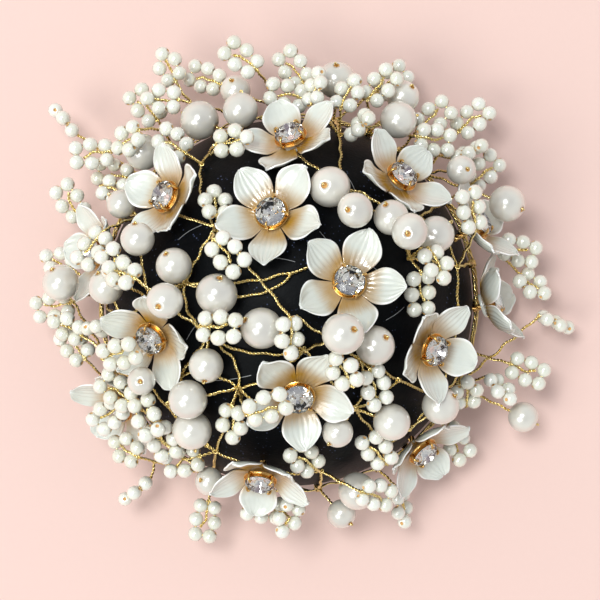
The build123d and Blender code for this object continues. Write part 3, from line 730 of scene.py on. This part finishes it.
# %% Knots and points of the bare wires; points are given as seen from above, in mm
BARE_WIRES = {
    "left": [("left_c", (-9.0, 5.2), (8.0, 9.5)), ("left_c", (-9.0, 1.8), (1.2, 7.4)),
             ("left_n", (-13.0, -14.0), "front_j"), ("left_i", (-19.0, -17.0), "front_j"),
             ("left_n", (-8.0, -12.0), "front_e"), ("left_h", (-27.5, -28.5), "front_i"),
             ("left_f", (-28.0, 21.5), "left_d"), ("left_c", (-24.0, -2.0), "left_n")],
    "back": [("back_b", (-21.0, 26.0), "left_d"), ("back_g", (18.5, 26.5), "right_l"),
             ("back_d", (1.0, 37.0), "back_g"), ("back_b", (-17.0, 39.5), "back_d")],
    "right": [("right_e", (28.5, 17.0), "right_l"), ("right_d", (38.5, 16.5), "right_b"),
              ("right_g", (41.5, -8.0), "right_d"), ("right_m", (10.0, -9.0), (2.0, -3.0))],
    "front": [("front_d", (21.0, -23.5), "right_h"), ("front_d", (18.5, -19.5), "right_m"),
              ("front_c", (31.5, -30.5), "right_g"), ("front_i", (-5.0, -42.0), "front_g"),
              ("front_j", (-4.0, -17.5), "front_e"), ("front_d", (-1.0, -26.0), "front_j")],
}


def over_cap(points):
    """Smooth line through knots and points seen from above, laid just over the cap."""
    flat = [KNOT_AT[point][:2] if isinstance(point, str) else np.array(point) * MM for point in points]
    x, y = np.array(flat).T
    share = np.linspace(0.0, 1.0, len(points))
    fine = np.linspace(0.0, 1.0, 30)
    x, y = [np.polyval(np.polyfit(share, values, 2), fine) for values in (x, y)]
    height = np.sqrt((CAP_RADIUS + KNOT_LIFT) ** 2 - x ** 2 - y ** 2)
    return np.stack([x, y, CAP_CENTRE[2] + height], axis=1)


print("bare wires:", {sprig: len(found) for sprig, found in BARE_WIRES.items()})

# %% Wires of each sprig in one piece
for sprig in SPRIGS:
    lines = sprig_lines(sprig) + BEADS[sprig][1]
    for points in BARE_WIRES[sprig]:
        lines += pair(over_cap(points))
    wires = tubes(sprig + "_twisted_wires", lines, STRAND_RADIUS)
    dress(wires, "gold_wire", wire_metal, stands_for=[sprig + "_wires"])

# %% [markdown]
# ## Large pearls
# The large pearls are seven to ten millimetres across, drilled right through, and threaded on the doubled wire.
# A plain sphere would do for the outline, but the drill hole and the strand that comes out of it tell the eye how
# they are held. One ball is shaped with bevelled holes, and each copy is pressed a little out of round.

# %% Pearls
# Nacre lacquer over a glass core: ivory to a faint grey, in soft clouds of 7 mm, deeper glow than the beads.
pearl_skin = pearl_lacquer("nacre_lacquered_glass_pearl", "#E0DDD2", "#CDC9C0", patch_mm=7.0, roughness=0.24,
                           ior=2.5, skin_mm=1.2, depth_mm=1.2)
# The pattern has a radius of 1 mm, and each copy is grown to its own pearl.
pearl = drilled_ball("pearl_pattern", pearl_skin, 1.0 * MM, segments=32, rings=20, mouth=0.22 * MM,
                     hole=0.17 * MM, depth=0.10 * MM)

for sprig in SPRIGS:
    copies = []
    for _, centre, radius, along in PEARLS[sprig]:
        grow = radius / MM * 0.995
        size = Matrix.Diagonal((grow, grow * chance.uniform(0.97, 1.0), grow * chance.uniform(0.98, 1.0), 1.0))
        copies.append(copy_of(pearl, turned_to(along, centre, size)))
    pearls = joined(sprig + "_pearls_detail", copies)
    dress(pearls, "pearl_ivory", stands_for=[sprig + "_pearls"])
throw_away([bead, pearl])

# %% [markdown]
# ## Flowers
# Each flower has five shell-like petals, cut from thin pearly sheet and pressed with ribs that run from root to
# tip. The edges curl up, so that light catches the rim. A flat plane would look like paper, so a petal starts as a
# grid with one column for each rib and groove: rows are scaled to the outline and lifted to the curve, columns are
# raised in turn for the ribs, and thickness and smoothing come last as modifiers.

# %% Where the flowers are
FLOWER_NAMES = sorted(name[:-len("_stone")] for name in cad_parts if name.endswith("_stone"))
# Way of a petal's root from the flower's axis, in mm.
PETAL_ROOT = 2.2
# Rise and reach of a CAD petal's tip from its root when it isn't pitched, in mm.
TIP_RISE, TIP_REACH = 3.75, 11.45
MANY_CORNERS = 12
CULET_BEYOND = 0.4 * MM
# The petals' disc is all that lies this near the axis; tips and claws are what lies beyond and above these.
DISC_WITHIN = 3.6 * MM
TIPS_BEYOND = 11.5 * MM
CLAWS_BEYOND, CLAWS_ABOVE = 3.4 * MM, 4.4 * MM


def read_flower(name):
    """Frame of a flower, pitch of each petal, turn of the claws and depth of the post."""
    # The culet is the smallest face of the stone with many corners, and the table the largest.
    faces = [face for face in flat_faces(name + "_stone", MANY_CORNERS) if face[3] > CULET_BEYOND]
    faces.sort(key=lambda face: face[3])
    culet, table = faces[0][0], faces[-1][0]
    axis = unit(table - culet)
    petals = points_of(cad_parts[name + "_petals"].data)
    height = (petals - table) @ axis
    away = np.linalg.norm(petals - table - np.outer(height, axis), axis=1)
    origin = table + axis * height[away < DISC_WITHIN].min()
    side = unit(np.cross(axis, [0.2, 0.9, 0.1]))
    other = np.cross(axis, side)
    x, y, z = (petals - origin) @ side, (petals - origin) @ other, (petals - origin) @ axis
    reach = np.hypot(x, y)
    far = reach > TIPS_BEYOND
    # The power lets the very tips count most.
    turn = phase_of(x[far], y[far], reach[far] ** 8, 5)
    pitches = []
    for i in range(5):
        angle = turn + i * math.tau / 5
        near = np.abs((np.arctan2(y, x) - angle + math.pi) % math.tau - math.pi) < math.radians(8)
        tip = near & (reach > reach[near].max() - 0.8 * MM)
        rise = math.atan2(z[tip].mean(), reach[tip].mean() - PETAL_ROOT * MM)
        pitches.append(rise - math.atan2(TIP_RISE, TIP_REACH))
    cup = points_of(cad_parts[name + "_cup"].data) - origin
    cx, cy, cz = cup @ side, cup @ other, cup @ axis
    high = (cz > CLAWS_ABOVE) & (np.hypot(cx, cy) > CLAWS_BEYOND)
    claws = phase_of(cx[high], cy[high], np.ones(high.sum()), 4)
    place = Matrix((side, other, axis)).transposed().to_4x4()
    place.translation = Vector(origin)
    return place, turn, pitches, claws, -cz.min()


FLOWERS = {name: read_flower(name) for name in FLOWER_NAMES}
for name, (_, turn, pitches, _, post) in FLOWERS.items():
    print(name, "petal pitches", [round(math.degrees(p)) for p in pitches], "post", round(post / MM, 1))

# %% A petal's outline: share of its length, half width in mm, rise in mm and curl of its edges in mm
PETAL_LENGTH = 11.6
PETAL_THICKNESS = 0.42
PETAL_OVER_DISC = 0.75
PETAL_ROWS = [
    (0.00, 1.6, 0.00, 0.10), (0.10, 2.4, 0.04, 0.22), (0.22, 3.35, 0.13, 0.42), (0.35, 4.25, 0.34, 0.85),
    (0.47, 4.80, 0.64, 1.25), (0.59, 4.85, 1.10, 1.45), (0.70, 4.40, 1.62, 1.50), (0.79, 3.65, 2.12, 1.30),
    (0.87, 2.72, 2.66, 1.05), (0.93, 1.75, 3.05, 0.70), (0.975, 0.90, 3.30, 0.40), (1.00, 0.30, 3.40, 0.25),
]
COLUMNS = 15
ROW_BANDS = ((0, 3), (4, 6), (7, 9), (10, 11))


def pick_points(piece, test):
    """Select the points of a piece that pass a test on their column and row."""
    bpy.ops.mesh.select_all(action="DESELECT")
    object_mode()
    for number, vertex in enumerate(piece.data.vertices):
        vertex.select = bool(test(number % COLUMNS, number // COLUMNS))
    edit_mode()


def petal_pattern(name, rib, tip_shift, wave, seed):
    """One petal: grid, outline, curl and ribs. A wave is a column, a row and how far that spot is lifted, in mm."""
    rows = len(PETAL_ROWS)
    bpy.ops.object.select_all(action="DESELECT")
    bpy.ops.mesh.primitive_grid_add(x_subdivisions=COLUMNS - 1, y_subdivisions=rows - 1, size=2 * MM, calc_uvs=True)
    piece = active()
    piece.name = name
    edit_mode()
    bpy.ops.mesh.select_mode(type="VERT")
    for row, (along, half, rise, _) in enumerate(PETAL_ROWS):
        pick_points(piece, lambda column, at: at == row)
        now = -1.0 + 2.0 * row / (rows - 1)
        bpy.ops.transform.resize(value=(half, 1, 1), center_override=(0, now * MM, 0))
        bpy.ops.transform.translate(value=(0, (PETAL_ROOT + PETAL_LENGTH * along - now) * MM, rise * MM))
    middle = (COLUMNS - 1) / 2
    for column in range(COLUMNS):
        side = (column - middle) / middle
        for low, high in ROW_BANDS:
            mean = sum(row[3] for row in PETAL_ROWS[low:high + 1]) / (high + 1 - low)
            pick_points(piece, lambda at, row: at == column and low <= row <= high)
            ridge = rib if column % 2 else 0.0
            fade = 0.4 if low == 0 or high == rows - 1 else 1.0
            bpy.ops.transform.translate(value=(0, 0, (mean * side ** 2 + ridge * fade) * MM))
    pick_points(piece, lambda column, row: row >= rows - 3 and abs(column - middle) <= 3)
    bpy.ops.transform.translate(value=(tip_shift * MM, 0.35 * abs(tip_shift) * MM, 0))
    for column, row, lift in wave:
        pick_points(piece, lambda at, line: abs(at - column) <= 1 and abs(line - row) <= 1)
        bpy.ops.transform.translate(value=(0, 0, lift * MM))
    bpy.ops.mesh.select_all(action="SELECT")
    bpy.ops.transform.vertex_random(offset=0.05 * MM, uniform=1.0, seed=seed)
    object_mode()
    bpy.ops.object.shade_smooth()
    return finished_petal(piece)


def finished_petal(piece):
    """Thickness and smoothing, then the petal is laid along +X."""
    wall = piece.modifiers.new("thickness", "SOLIDIFY")
    wall.thickness = PETAL_THICKNESS * MM
    wall.offset = -1.0
    smooth = piece.modifiers.new("smooth", "SUBSURF")
    smooth.levels = 1
    smooth.render_levels = 1
    pick_only(piece)
    bpy.ops.object.modifier_apply(modifier="thickness")
    bpy.ops.object.modifier_apply(modifier="smooth")
    piece.data.transform(Matrix.Translation((0, 0, PETAL_OVER_DISC * MM)) @ Matrix.Rotation(-math.pi / 2, 4, "Z"))
    return piece


PETALS = [
    petal_pattern("petal_ribbed", rib=0.78, tip_shift=0.0, wave=[(1, 8, 0.25), (13, 7, -0.2)], seed=3),
    petal_pattern("petal_soft", rib=0.20, tip_shift=0.5, wave=[(0, 6, 0.3), (14, 9, 0.25), (6, 11, -0.2)], seed=8),
    petal_pattern("petal_waved", rib=0.38, tip_shift=-0.5, wave=[(1, 9, -0.3), (12, 8, 0.35), (14, 5, 0.2)], seed=21),
]
print("faces of a petal:", [len(petal.data.polygons) for petal in PETALS])

# %% [markdown]
# ### Pearly petal sheet
# The petals look like shell: creamy white with a silver sheen, fine lines along the ribs, and an amber tint round
# the cup that is a painted reflection of the gold. The colour follows the petal, from root to tip,
# so it reads the petal's own map instead of places in the room. A little light passes through the thin edge.

# %% Petal material
petal_sheet = new_material("pearlised_shell_sheet")
chart = add_node(petal_sheet, "ShaderNodeUVMap", uv_map="UVMap").outputs["UV"]
split = add_node(petal_sheet, "ShaderNodeSeparateXYZ", {"Vector": chart})
stretch = add_node(petal_sheet, "ShaderNodeMapping", {"Vector": chart, "Scale": (9.0, 0.8, 1.0)})
# Growth lines: about forty across a petal of 9 mm, so that each is near 0.25 mm wide.
streak = add_node(petal_sheet, "ShaderNodeTexNoise", {"Vector": stretch.outputs["Vector"], "Scale": 4.5,
                  "Detail": 5.0, "Roughness": 0.6})
place = add_node(petal_sheet, "ShaderNodeTexCoord").outputs["Object"]
cloud = add_node(petal_sheet, "ShaderNodeTexNoise", {"Vector": place, "Scale": scale_for(6.0), "Detail": 2.0})
white = add_node(petal_sheet, "ShaderNodeMix", {0: streak.outputs["Fac"], 6: linear("#E8EBE3"),
                 7: linear("#D8DBD1")}, data_type="RGBA")
shade = add_node(petal_sheet, "ShaderNodeMapRange", {"Value": cloud.outputs["Fac"], "From Min": 0.4,
                 "From Max": 0.7, "To Min": 0.0, "To Max": 0.35})
tinted = add_node(petal_sheet, "ShaderNodeMix", {0: shade.outputs["Result"], 6: white.outputs[2],
                  7: linear("#C2C8C1")}, data_type="RGBA")
# Painted reflection of the gold cup: an amber tint from the petal's root that fades out along it, stronger in some
# patches.
wander = add_node(petal_sheet, "ShaderNodeMath", {0: streak.outputs["Fac"], 1: 0.16, 2: split.outputs["Y"]},
                  operation="MULTIPLY_ADD")
glow = add_node(petal_sheet, "ShaderNodeMapRange", {"Value": wander.outputs["Value"], "From Min": 0.25,
                "From Max": 0.56, "To Min": 1.0, "To Max": 0.0}, interpolation_type="SMOOTHSTEP")
# The rolled rim is thicker than the rest, so it is whiter, and it also carries a painted highlight where it catches the
# light.
side = add_node(petal_sheet, "ShaderNodeMath", {0: split.outputs["X"], 1: 0.5}, operation="SUBTRACT")
off_axis = add_node(petal_sheet, "ShaderNodeMath", {0: side.outputs["Value"]}, operation="ABSOLUTE")
flank = add_node(petal_sheet, "ShaderNodeMapRange", {"Value": off_axis.outputs["Value"], "From Min": 0.43,
                 "From Max": 0.48})
point = add_node(petal_sheet, "ShaderNodeMapRange", {"Value": split.outputs["Y"], "From Min": 0.90,
                 "From Max": 0.96})
edge = add_node(petal_sheet, "ShaderNodeMath", {0: flank.outputs["Result"], 1: point.outputs["Result"]},
                operation="MAXIMUM")
thick_rim_and_highlight = add_node(petal_sheet, "ShaderNodeMix", {0: edge.outputs["Value"], 6: tinted.outputs[2],
                  7: linear("#FFFFFB")}, data_type="RGBA")
share = add_node(petal_sheet, "ShaderNodeMapRange", {"Value": cloud.outputs["Fac"], "From Min": 0.38,
                 "From Max": 0.62, "To Min": 0.78, "To Max": 1.0})
part = add_node(petal_sheet, "ShaderNodeMath", {0: glow.outputs["Result"], 1: share.outputs["Result"]},
                operation="MULTIPLY")
painted_gold_reflection = add_node(petal_sheet, "ShaderNodeMix", {0: part.outputs["Value"], 6: thick_rim_and_highlight.outputs[2],
                      7: linear("#AE8228")}, data_type="RGBA")
surface(petal_sheet, (streak.outputs["Fac"], 0.5, 0.12), Base_Color=painted_gold_reflection.outputs[2], Roughness=0.24, IOR=1.7,
        Subsurface_Weight=0.25, Subsurface_Radius=(1.0, 0.95, 0.85), Subsurface_Scale=0.5 * MM, Coat_Weight=1.0,
        Coat_Roughness=0.07)
print("made", petal_sheet.name)

# %% The petals of each flower
DISC_RADIUS = 3.2 * MM
DISC_THICKNESS = 0.8 * MM
DISC_MIDDLE = (0, 0, 0.45 * MM)


def flower_disc():
    """Small round plate that the petals are fixed to, with an eased edge."""
    bpy.ops.object.select_all(action="DESELECT")
    bpy.ops.mesh.primitive_cylinder_add(vertices=28, radius=DISC_RADIUS, depth=DISC_THICKNESS, location=DISC_MIDDLE)
    piece = active()
    bpy.ops.object.transform_apply(location=True, rotation=True, scale=True)
    edit_all()
    bpy.ops.mesh.bevel(offset=0.2 * MM, segments=2, affect="EDGES")
    object_mode()
    pick_only(piece)
    bpy.ops.object.shade_smooth_by_angle(angle=math.radians(40))
    return piece


disc = flower_disc()
for number, name in enumerate(FLOWER_NAMES):
    frame_here, turn, pitches, _, _ = FLOWERS[name]
    copies = [copy_of(disc, frame_here)]
    for i, pitch in enumerate(pitches):
        root = Matrix.Translation((PETAL_ROOT * MM, 0, 0))
        lifted = root @ Matrix.Rotation(-pitch, 4, "Y") @ root.inverted()
        swung = Matrix.Rotation(turn + i * math.tau / 5 + math.radians(chance.uniform(-2, 2)), 4, "Z")
        pattern = PETALS[(number + 2 * i) % 3]
        copies.append(copy_of(pattern, frame_here @ swung @ lifted))
    petals = joined(name + "_petals_detail", copies[::-1])
    dress(petals, "petal_white", petal_sheet, stands_for=[name + "_petals"])
throw_away(PETALS + [disc])

# %% [markdown]
# ## Cups
# The stone sits in a stamped cup with four claws bent over its edge, all gold plated. The cup is a turned form, so
# its profile is drawn as a chain of edges and spun round the axis. A claw is a small round bar that is pulled up in
# steps and bent inwards. Below, four strands twisted together carry the flower.

# %% One cup: profile as distance from the axis and height, in mm
CUP_PROFILE = [(0.0, 1.30), (1.0, 1.30), (2.9, 1.90), (3.85, 2.38), (4.16, 2.56), (4.20, 2.72), (4.05, 2.82),
               (3.68, 2.68), (3.56, 2.90), (3.62, 3.40), (3.82, 3.74), (3.84, 3.86), (3.72, 3.88), (3.50, 3.62),
               (2.80, 2.80), (2.35, 2.30), (0.0, 1.75)]


def turned_form(name, profile, steps):
    """Profile of points spun round the Z axis into a closed form."""
    mesh = bpy.data.meshes.new(name)
    points = [(x * MM, 0, z * MM) for x, z in profile]
    mesh.from_pydata(points, [(i, i + 1) for i in range(len(points) - 1)], [])
    piece = new_object(name, mesh)
    pick_only(piece)
    edit_all()
    bpy.ops.mesh.spin(steps=steps, angle=math.tau, center=(0, 0, 0), axis=(0, 0, 1))
    bpy.ops.mesh.select_all(action="SELECT")
    bpy.ops.mesh.remove_doubles(threshold=0.005 * MM)
    bpy.ops.mesh.normals_make_consistent(inside=False)
    object_mode()
    bpy.ops.object.shade_smooth_by_angle(angle=math.radians(50))
    return piece


CLAW_FOOT = (4.1, 0.0, 2.5)
CLAW_RADIUS = 0.36 * MM
# Steps of a claw: out and up in mm, lean in degrees, and size.
CLAW_STEPS = [(0, 1.0, 0, 1.0), (0.02, 0.65, 8, 1.0), (-0.16, 0.45, 24, 0.95), (-0.36, 0.32, 32, 0.9),
              (-0.36, 0.10, 12, 0.8), (-0.16, 0.0, 0, 0.55)]


def claw():
    """Bar of the claw: pulled up from a small circle, bent in over the stone and rounded at its tip."""
    bpy.ops.object.select_all(action="DESELECT")
    bpy.ops.mesh.primitive_circle_add(vertices=8, radius=CLAW_RADIUS, fill_type="NGON", location=Vector(CLAW_FOOT) * MM)
    piece = active()
    bpy.ops.object.transform_apply(location=True, rotation=True, scale=True)
    edit_all()
    at = Vector(CLAW_FOOT) * MM
    for out, up, lean, size in CLAW_STEPS:
        step = Vector((out, 0, up)) * MM
        bpy.ops.mesh.extrude_region_move(TRANSFORM_OT_translate={"value": step})
        at = at + step
        bpy.ops.transform.rotate(value=math.radians(lean), orient_axis="Y", center_override=at)
        bpy.ops.transform.resize(value=(size, size, size), center_override=at)
    bpy.ops.mesh.select_all(action="SELECT")
    bpy.ops.mesh.normals_make_consistent(inside=False)
    object_mode()
    bpy.ops.object.shade_smooth()
    return piece


dish = turned_form("dish_pattern", CUP_PROFILE, 36)
prong = claw()
cup_pattern = joined("cup_pattern", [dish] + [copy_of(prong, Matrix.Rotation(math.tau / 4 * i, 4, "Z"))
                                              for i in range(4)])
throw_away([prong])
print("faces of a cup:", len(cup_pattern.data.polygons))

# %% Cup material and cups in place
# Stamped brass with a warm, thick gold plate, brighter than the wire; wear patches of 1.5 mm at the claws.
cup_metal = metal("gold_plated_stamped_brass", "#F0CC86", "#B58440", rough_low=0.16, rough_high=0.34,
                  patch_mm=1.5, scratch_mm=0.15, bump=0.25)
print("made", cup_metal.name)

# The stalk: four strands, how far each is from the axis, their twist and their radius.
STALK_STRANDS = 4
STALK_AWAY = 0.5 * MM
STALK_TWIST = 5.5 * MM
STALK_RADIUS = 0.36 * MM
for name in FLOWER_NAMES:
    frame_here, _, _, claws, post = FLOWERS[name]
    cup = copy_of(cup_pattern, frame_here @ Matrix.Rotation(claws, 4, "Z"))
    axis = np.array(frame_here.to_3x3().col[2])
    top = np.array(frame_here.translation) + axis * CUP_PROFILE[0][1] * MM
    foot = np.array(frame_here.translation) - axis * post
    line = evenly(np.array([foot, top]), 0.5 * MM)
    strands = [wound(line, STALK_AWAY, STALK_TWIST, math.tau / STALK_STRANDS * i) for i in range(STALK_STRANDS)]
    stalk = tubes("stalk", strands, STALK_RADIUS)
    cup = joined(name + "_cup_detail", [cup, stalk])
    dress(cup, "cup_gold", cup_metal, stands_for=[name + "_cup"])
throw_away([cup_pattern])

# %% [markdown]
# ## Cut stones
# A round stone is cut with a flat table, a crown of kite and triangle facets, a thin girdle and a deep pavilion.
# All its facets are flat, so it is the tightest skin round a few rings of corners: the rings are laid down as
# circles, and the convex hull operator stretches the facets between them. Rhinestones are clear lead glass with
# silver lacquer on the back, which is why they flash even on dark ground, so the pavilion gets the lacquer.

# %% Glass and silver lacquer
# Lead glass, cut and polished; a faint warm streak keeps it from looking like clear air.
stone_glass, _, _, clear = mottled("cut_lead_glass", "#FFFFFF", "#F4F0EA", patch_mm=3.0, detail=1.0)
surface(stone_glass, Base_Color=clear, Roughness=0.0, IOR=1.6, Transmission_Weight=1.0)

# Silver lacquer on the pavilion: a mirror seen through the glass, uneven over 0.4 mm.
silvering, _, crease, tone = mottled("silver_back_lacquer", "#FFFFFF", "#DCDCDC", patch_mm=0.4, detail=2.0)
surface(silvering, (crease, 0.12, FINE_RELIEF), Base_Color=tone, Metallic=1.0, Roughness=0.03)
print("made", stone_glass.name, "and", silvering.name)

# %% One stone: number of corners, radius, height and turn of each ring, in mm and in shares of a step
STONE_RINGS = [(8, 2.10, 5.41, 0.5), (8, 3.04, 4.88, 0.0), (16, 3.67, 4.17, 0.0), (16, 3.67, 3.95, 0.0),
               (16, 2.75, 3.32, 0.5), (8, 1.6, 2.58, 0.5), (8, 0.5, 1.95, 0.0)]


def cut_stone():
    """One stone with its facets; those that look down are silvered."""
    bpy.ops.object.select_all(action="DESELECT")
    rings = []
    for count, radius, height, turn in STONE_RINGS:
        bpy.ops.mesh.primitive_circle_add(vertices=count, radius=radius * MM, location=(0, 0, height * MM),
                                          rotation=(0, 0, math.tau / count * turn))
        rings.append(active())
        bpy.ops.object.transform_apply(location=True, rotation=True, scale=True)
    stone = joined("stone_pattern", rings)
    edit_all()
    bpy.ops.mesh.convex_hull()
    bpy.ops.mesh.select_all(action="SELECT")
    bpy.ops.mesh.dissolve_limited(angle_limit=math.radians(1.0))
    bpy.ops.mesh.select_all(action="SELECT")
    bpy.ops.mesh.normals_make_consistent(inside=False)
    object_mode()
    bpy.ops.object.shade_flat()
    stone.data.materials.append(stone_glass)
    stone.data.materials.append(silvering)
    for face in stone.data.polygons:
        face.material_index = 1 if face.normal.z < -0.2 else 0
    return stone


stone_pattern = cut_stone()
print("facets of a stone:", len(stone_pattern.data.polygons))

# %% Stones in place
for name in FLOWER_NAMES:
    frame_here, _, _, claws, _ = FLOWERS[name]
    turn = Matrix.Rotation(claws + math.radians(chance.uniform(-10, 10)), 4, "Z")
    stone = copy_of(stone_pattern, frame_here @ turn)
    stone.name = name + "_stone_detail"
    stone.data.name = stone.name
    dress(stone, "clear_stone", stands_for=[name + "_stone"])
throw_away([stone_pattern])

# %% [markdown]
# ## Wire round the hem
# The sprigs are wrapped on a bundle of wires that runs round the cap just above its hem. In the CAD it is one round
# bar. Here five strands wander round that line, cross over and under each other, and stay inside the bar's space.

# %% Rim bundle
RIM_STRANDS = 5
RIM_STRAND_RADIUS = 0.22 * MM
RIM_STRAND_AWAY = 0.48 * MM


def rim_strand(number):
    """One strand of the bundle, closed on itself."""
    angles = np.linspace(0, math.tau, 361)
    start = math.tau * number / RIM_STRANDS
    turns = 30 + number
    drift = 0.10 * np.sin(angles * (3 + number) + start) + 0.05 * np.sin(angles * (7 - number))
    away = RIM_STRAND_AWAY + drift * MM
    swing = turns * angles + start
    radius = RIM_RADIUS + away * np.cos(swing)
    height = RIM_HEIGHT + away * np.sin(swing)
    return np.stack([radius * np.cos(angles), radius * np.sin(angles), height], axis=1)


rim = tubes("rim_wire_bundle", [rim_strand(number) for number in range(RIM_STRANDS)], RIM_STRAND_RADIUS)
dress(rim, "gold_wire", wire_metal, stands_for=["rim_wire"])

# %% [markdown]
# ## Nylon thread
# Here and there a clear thread holds a sprig down to the cap. It is only 0.14 mm thick and shows as a pale line on
# the black. Each thread follows the cap between two places. Its middle line is lifted a little less than its
# radius, so it touches the cap at both ends.

# %% Threads: compass and slope of both ends
THREADS = [(66, 23, 48, 20), (340, 19, 330, 26), (15, 30, 28, 26), (243, 24, 226, 33), (57, 40, 66, 46),
           (150, 40, 138, 36), (300, 20, 270, 12), (200, 33, 190, 26), (350, 30, 358, 36), (110, 14, 80, 12)]
THREAD_RADIUS = 0.07 * MM
THREAD_LIFT = 0.06 * MM
THREAD_RISE = 0.5 * MM
threads = tubes("nylon_threads", [arc_between(on_cap(c1, s1, 0.0), on_cap(c2, s2, 0.0), 12, THREAD_LIFT, THREAD_RISE)
                                  for c1, s1, c2, s2 in THREADS], THREAD_RADIUS)

# Clear nylon drawn as grey: random patches of painted light, milky, and of painted shade, darker, along the thread.
nylon, _, _, pale = mottled("clear_nylon_thread", "#E8E9EA", "#8F9498", patch_mm=5.0, detail=1.0)
surface(nylon, Base_Color=pale, Roughness=0.2, IOR=1.53, Transmission_Weight=0.3)
dress(threads, "clear_stone", nylon)

# %% [markdown]
# ## Cap and pin
# The cap is a moulded shell covered in thin black satin. Its shape is right as it is, so the CAD node stays and
# only takes a finish: nearly black, a soft broad highlight, very fine crinkles, and a few painted blue glints.
# The pin is lacquered steel wire and sits inside, where it only shows from below.

# %% Cap material
# Crinkles of about 1.2 mm over a weave too fine to see, which is drawn at 0.35 mm so that it shows at all.
satin, spot, crinkle, dark = mottled("black_satin_cover", "#060708", "#101215", patch_mm=1.2, detail=4.0,
                                     Roughness=0.55, Distortion=0.6)
weave = add_node(satin, "ShaderNodeTexVoronoi", {"Vector": spot, "Scale": scale_for(0.35)}, feature="F1")
both = add_node(satin, "ShaderNodeMath", {0: weave.outputs["Distance"], 1: 0.25, 2: crinkle},
                operation="MULTIPLY_ADD")
# Painted blue glints: flecks that lie 1.1 mm apart and show only in patches of 11 mm.
fleck = add_node(satin, "ShaderNodeTexVoronoi", {"Vector": spot, "Scale": scale_for(1.1)}, feature="F1")
glint = add_node(satin, "ShaderNodeMapRange", {"Value": fleck.outputs["Distance"], "From Min": 0.08,
                 "From Max": 0.20, "To Min": 0.9, "To Max": 0.0})
glint_patches = add_node(satin, "ShaderNodeTexNoise", {"Vector": spot, "Scale": scale_for(11.0), "Detail": 1.0})
where = add_node(satin, "ShaderNodeMapRange", {"Value": glint_patches.outputs["Fac"], "From Min": 0.50, "From Max": 0.62})
amount = add_node(satin, "ShaderNodeMath", {0: glint.outputs["Result"], 1: where.outputs["Result"]},
                  operation="MULTIPLY")
# Painted glints: the flecks turn the black a pale blue.
painted_glints = add_node(satin, "ShaderNodeMix", {0: amount.outputs["Value"], 6: dark, 7: linear("#5A6688")},
                 data_type="RGBA")
surface(satin, (both.outputs["Value"], 0.5, 0.15), Base_Color=painted_glints.outputs[2], Roughness=0.46, IOR=1.5,
        Specular_IOR_Level=0.07, Sheen_Weight=0.01, Sheen_Roughness=0.35, Sheen_Tint=linear("#8C90A8"))


def refinish(name, material):
    """New finish on a CAD node that stays."""
    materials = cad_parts[name].data.materials
    materials.clear()
    materials.append(material)
    print(name, "in", material.name)


refinish("cap", satin)

# %% Pin material
# Steel wire dipped in black lacquer, thin and a little orange-peeled.
lacquer, _, peel, ink = mottled("black_lacquered_steel", "#101012", "#1E1D20", patch_mm=0.8, detail=2.0)
surface(lacquer, (peel, 0.2, FINE_RELIEF), Base_Color=ink, Roughness=0.25, IOR=1.5, Coat_Weight=0.5,
        Coat_Roughness=0.08)
refinish("hair_pin", lacquer)

# %% [markdown]
# ## Table and light
# The picture shows a plain pale pink sheet. The shadow falls softly to the upper right, so the main light stands
# at the lower left, large and far off, so that the sheet is lit evenly. Pearls are small mirrors: what they show is
# the room itself. A smaller softbox above draws the bright spot that makes them look round, and the room is paler
# near the floor than overhead, where the camera is, which gives them a light rim round a quieter middle.

# %% Floor
bpy.ops.object.select_all(action="DESELECT")
bpy.ops.mesh.primitive_plane_add(size=6.0, location=(0, 0, 0))
floor = active()
floor.name = "table"
# Uncoated card: matt, with fibres that drift in tone over 1.5 mm.
paper, _, _, pink = mottled("pale_pink_card", "#EACBC2", "#E8C9C0", patch_mm=1.5, detail=3.0)
surface(paper, Base_Color=pink, Roughness=0.85, IOR=1.4)
floor.data.materials.append(paper)
print("floor of", paper.name)

# %% Lights
def softbox(name, place, size, watts, colour):
    """Square soft light that faces the middle of the object."""
    light = bpy.data.lights.new(name, "AREA")
    light.shape = "SQUARE"
    light.size = size
    light.energy = watts
    light.color = linear(colour)[:3]
    lamp = new_object(name, light)
    lamp.location = place
    aim = Vector((0, 0, 0.03)) - Vector(place)
    lamp.rotation_euler = aim.to_track_quat("-Z", "Y").to_euler()


softbox("key_light", place=(-1.10, -0.70, 1.90), size=1.10, watts=20.5, colour="#FAFBF5")
softbox("window_light", place=(-0.36, 0.34, 1.60), size=0.50, watts=15.0, colour="#FAFFFF")

# %% The room: paler near the floor than overhead
world = bpy.data.worlds.new("studio")
world.use_nodes = True
world.node_tree.nodes.clear()
around = add_node(world, "ShaderNodeTexCoord").outputs["Generated"]
height = add_node(world, "ShaderNodeSeparateXYZ", {"Vector": around}).outputs["Z"]
room = add_node(world, "ShaderNodeValToRGB", {"Fac": height})
stops = room.color_ramp.elements
stops[0].position, stops[0].color = 0.25, linear("#DDDEDA")
stops[1].position, stops[1].color = 0.985, linear("#686B7C")
stops.new(0.70).color = linear("#BBBEC4")
walls = add_node(world, "ShaderNodeBackground", {"Color": room.outputs["Color"], "Strength": 1.05})
add_node(world, "ShaderNodeOutputWorld", {"Surface": walls.outputs["Background"]})
bpy.context.scene.world = world
print("world:", world.name)
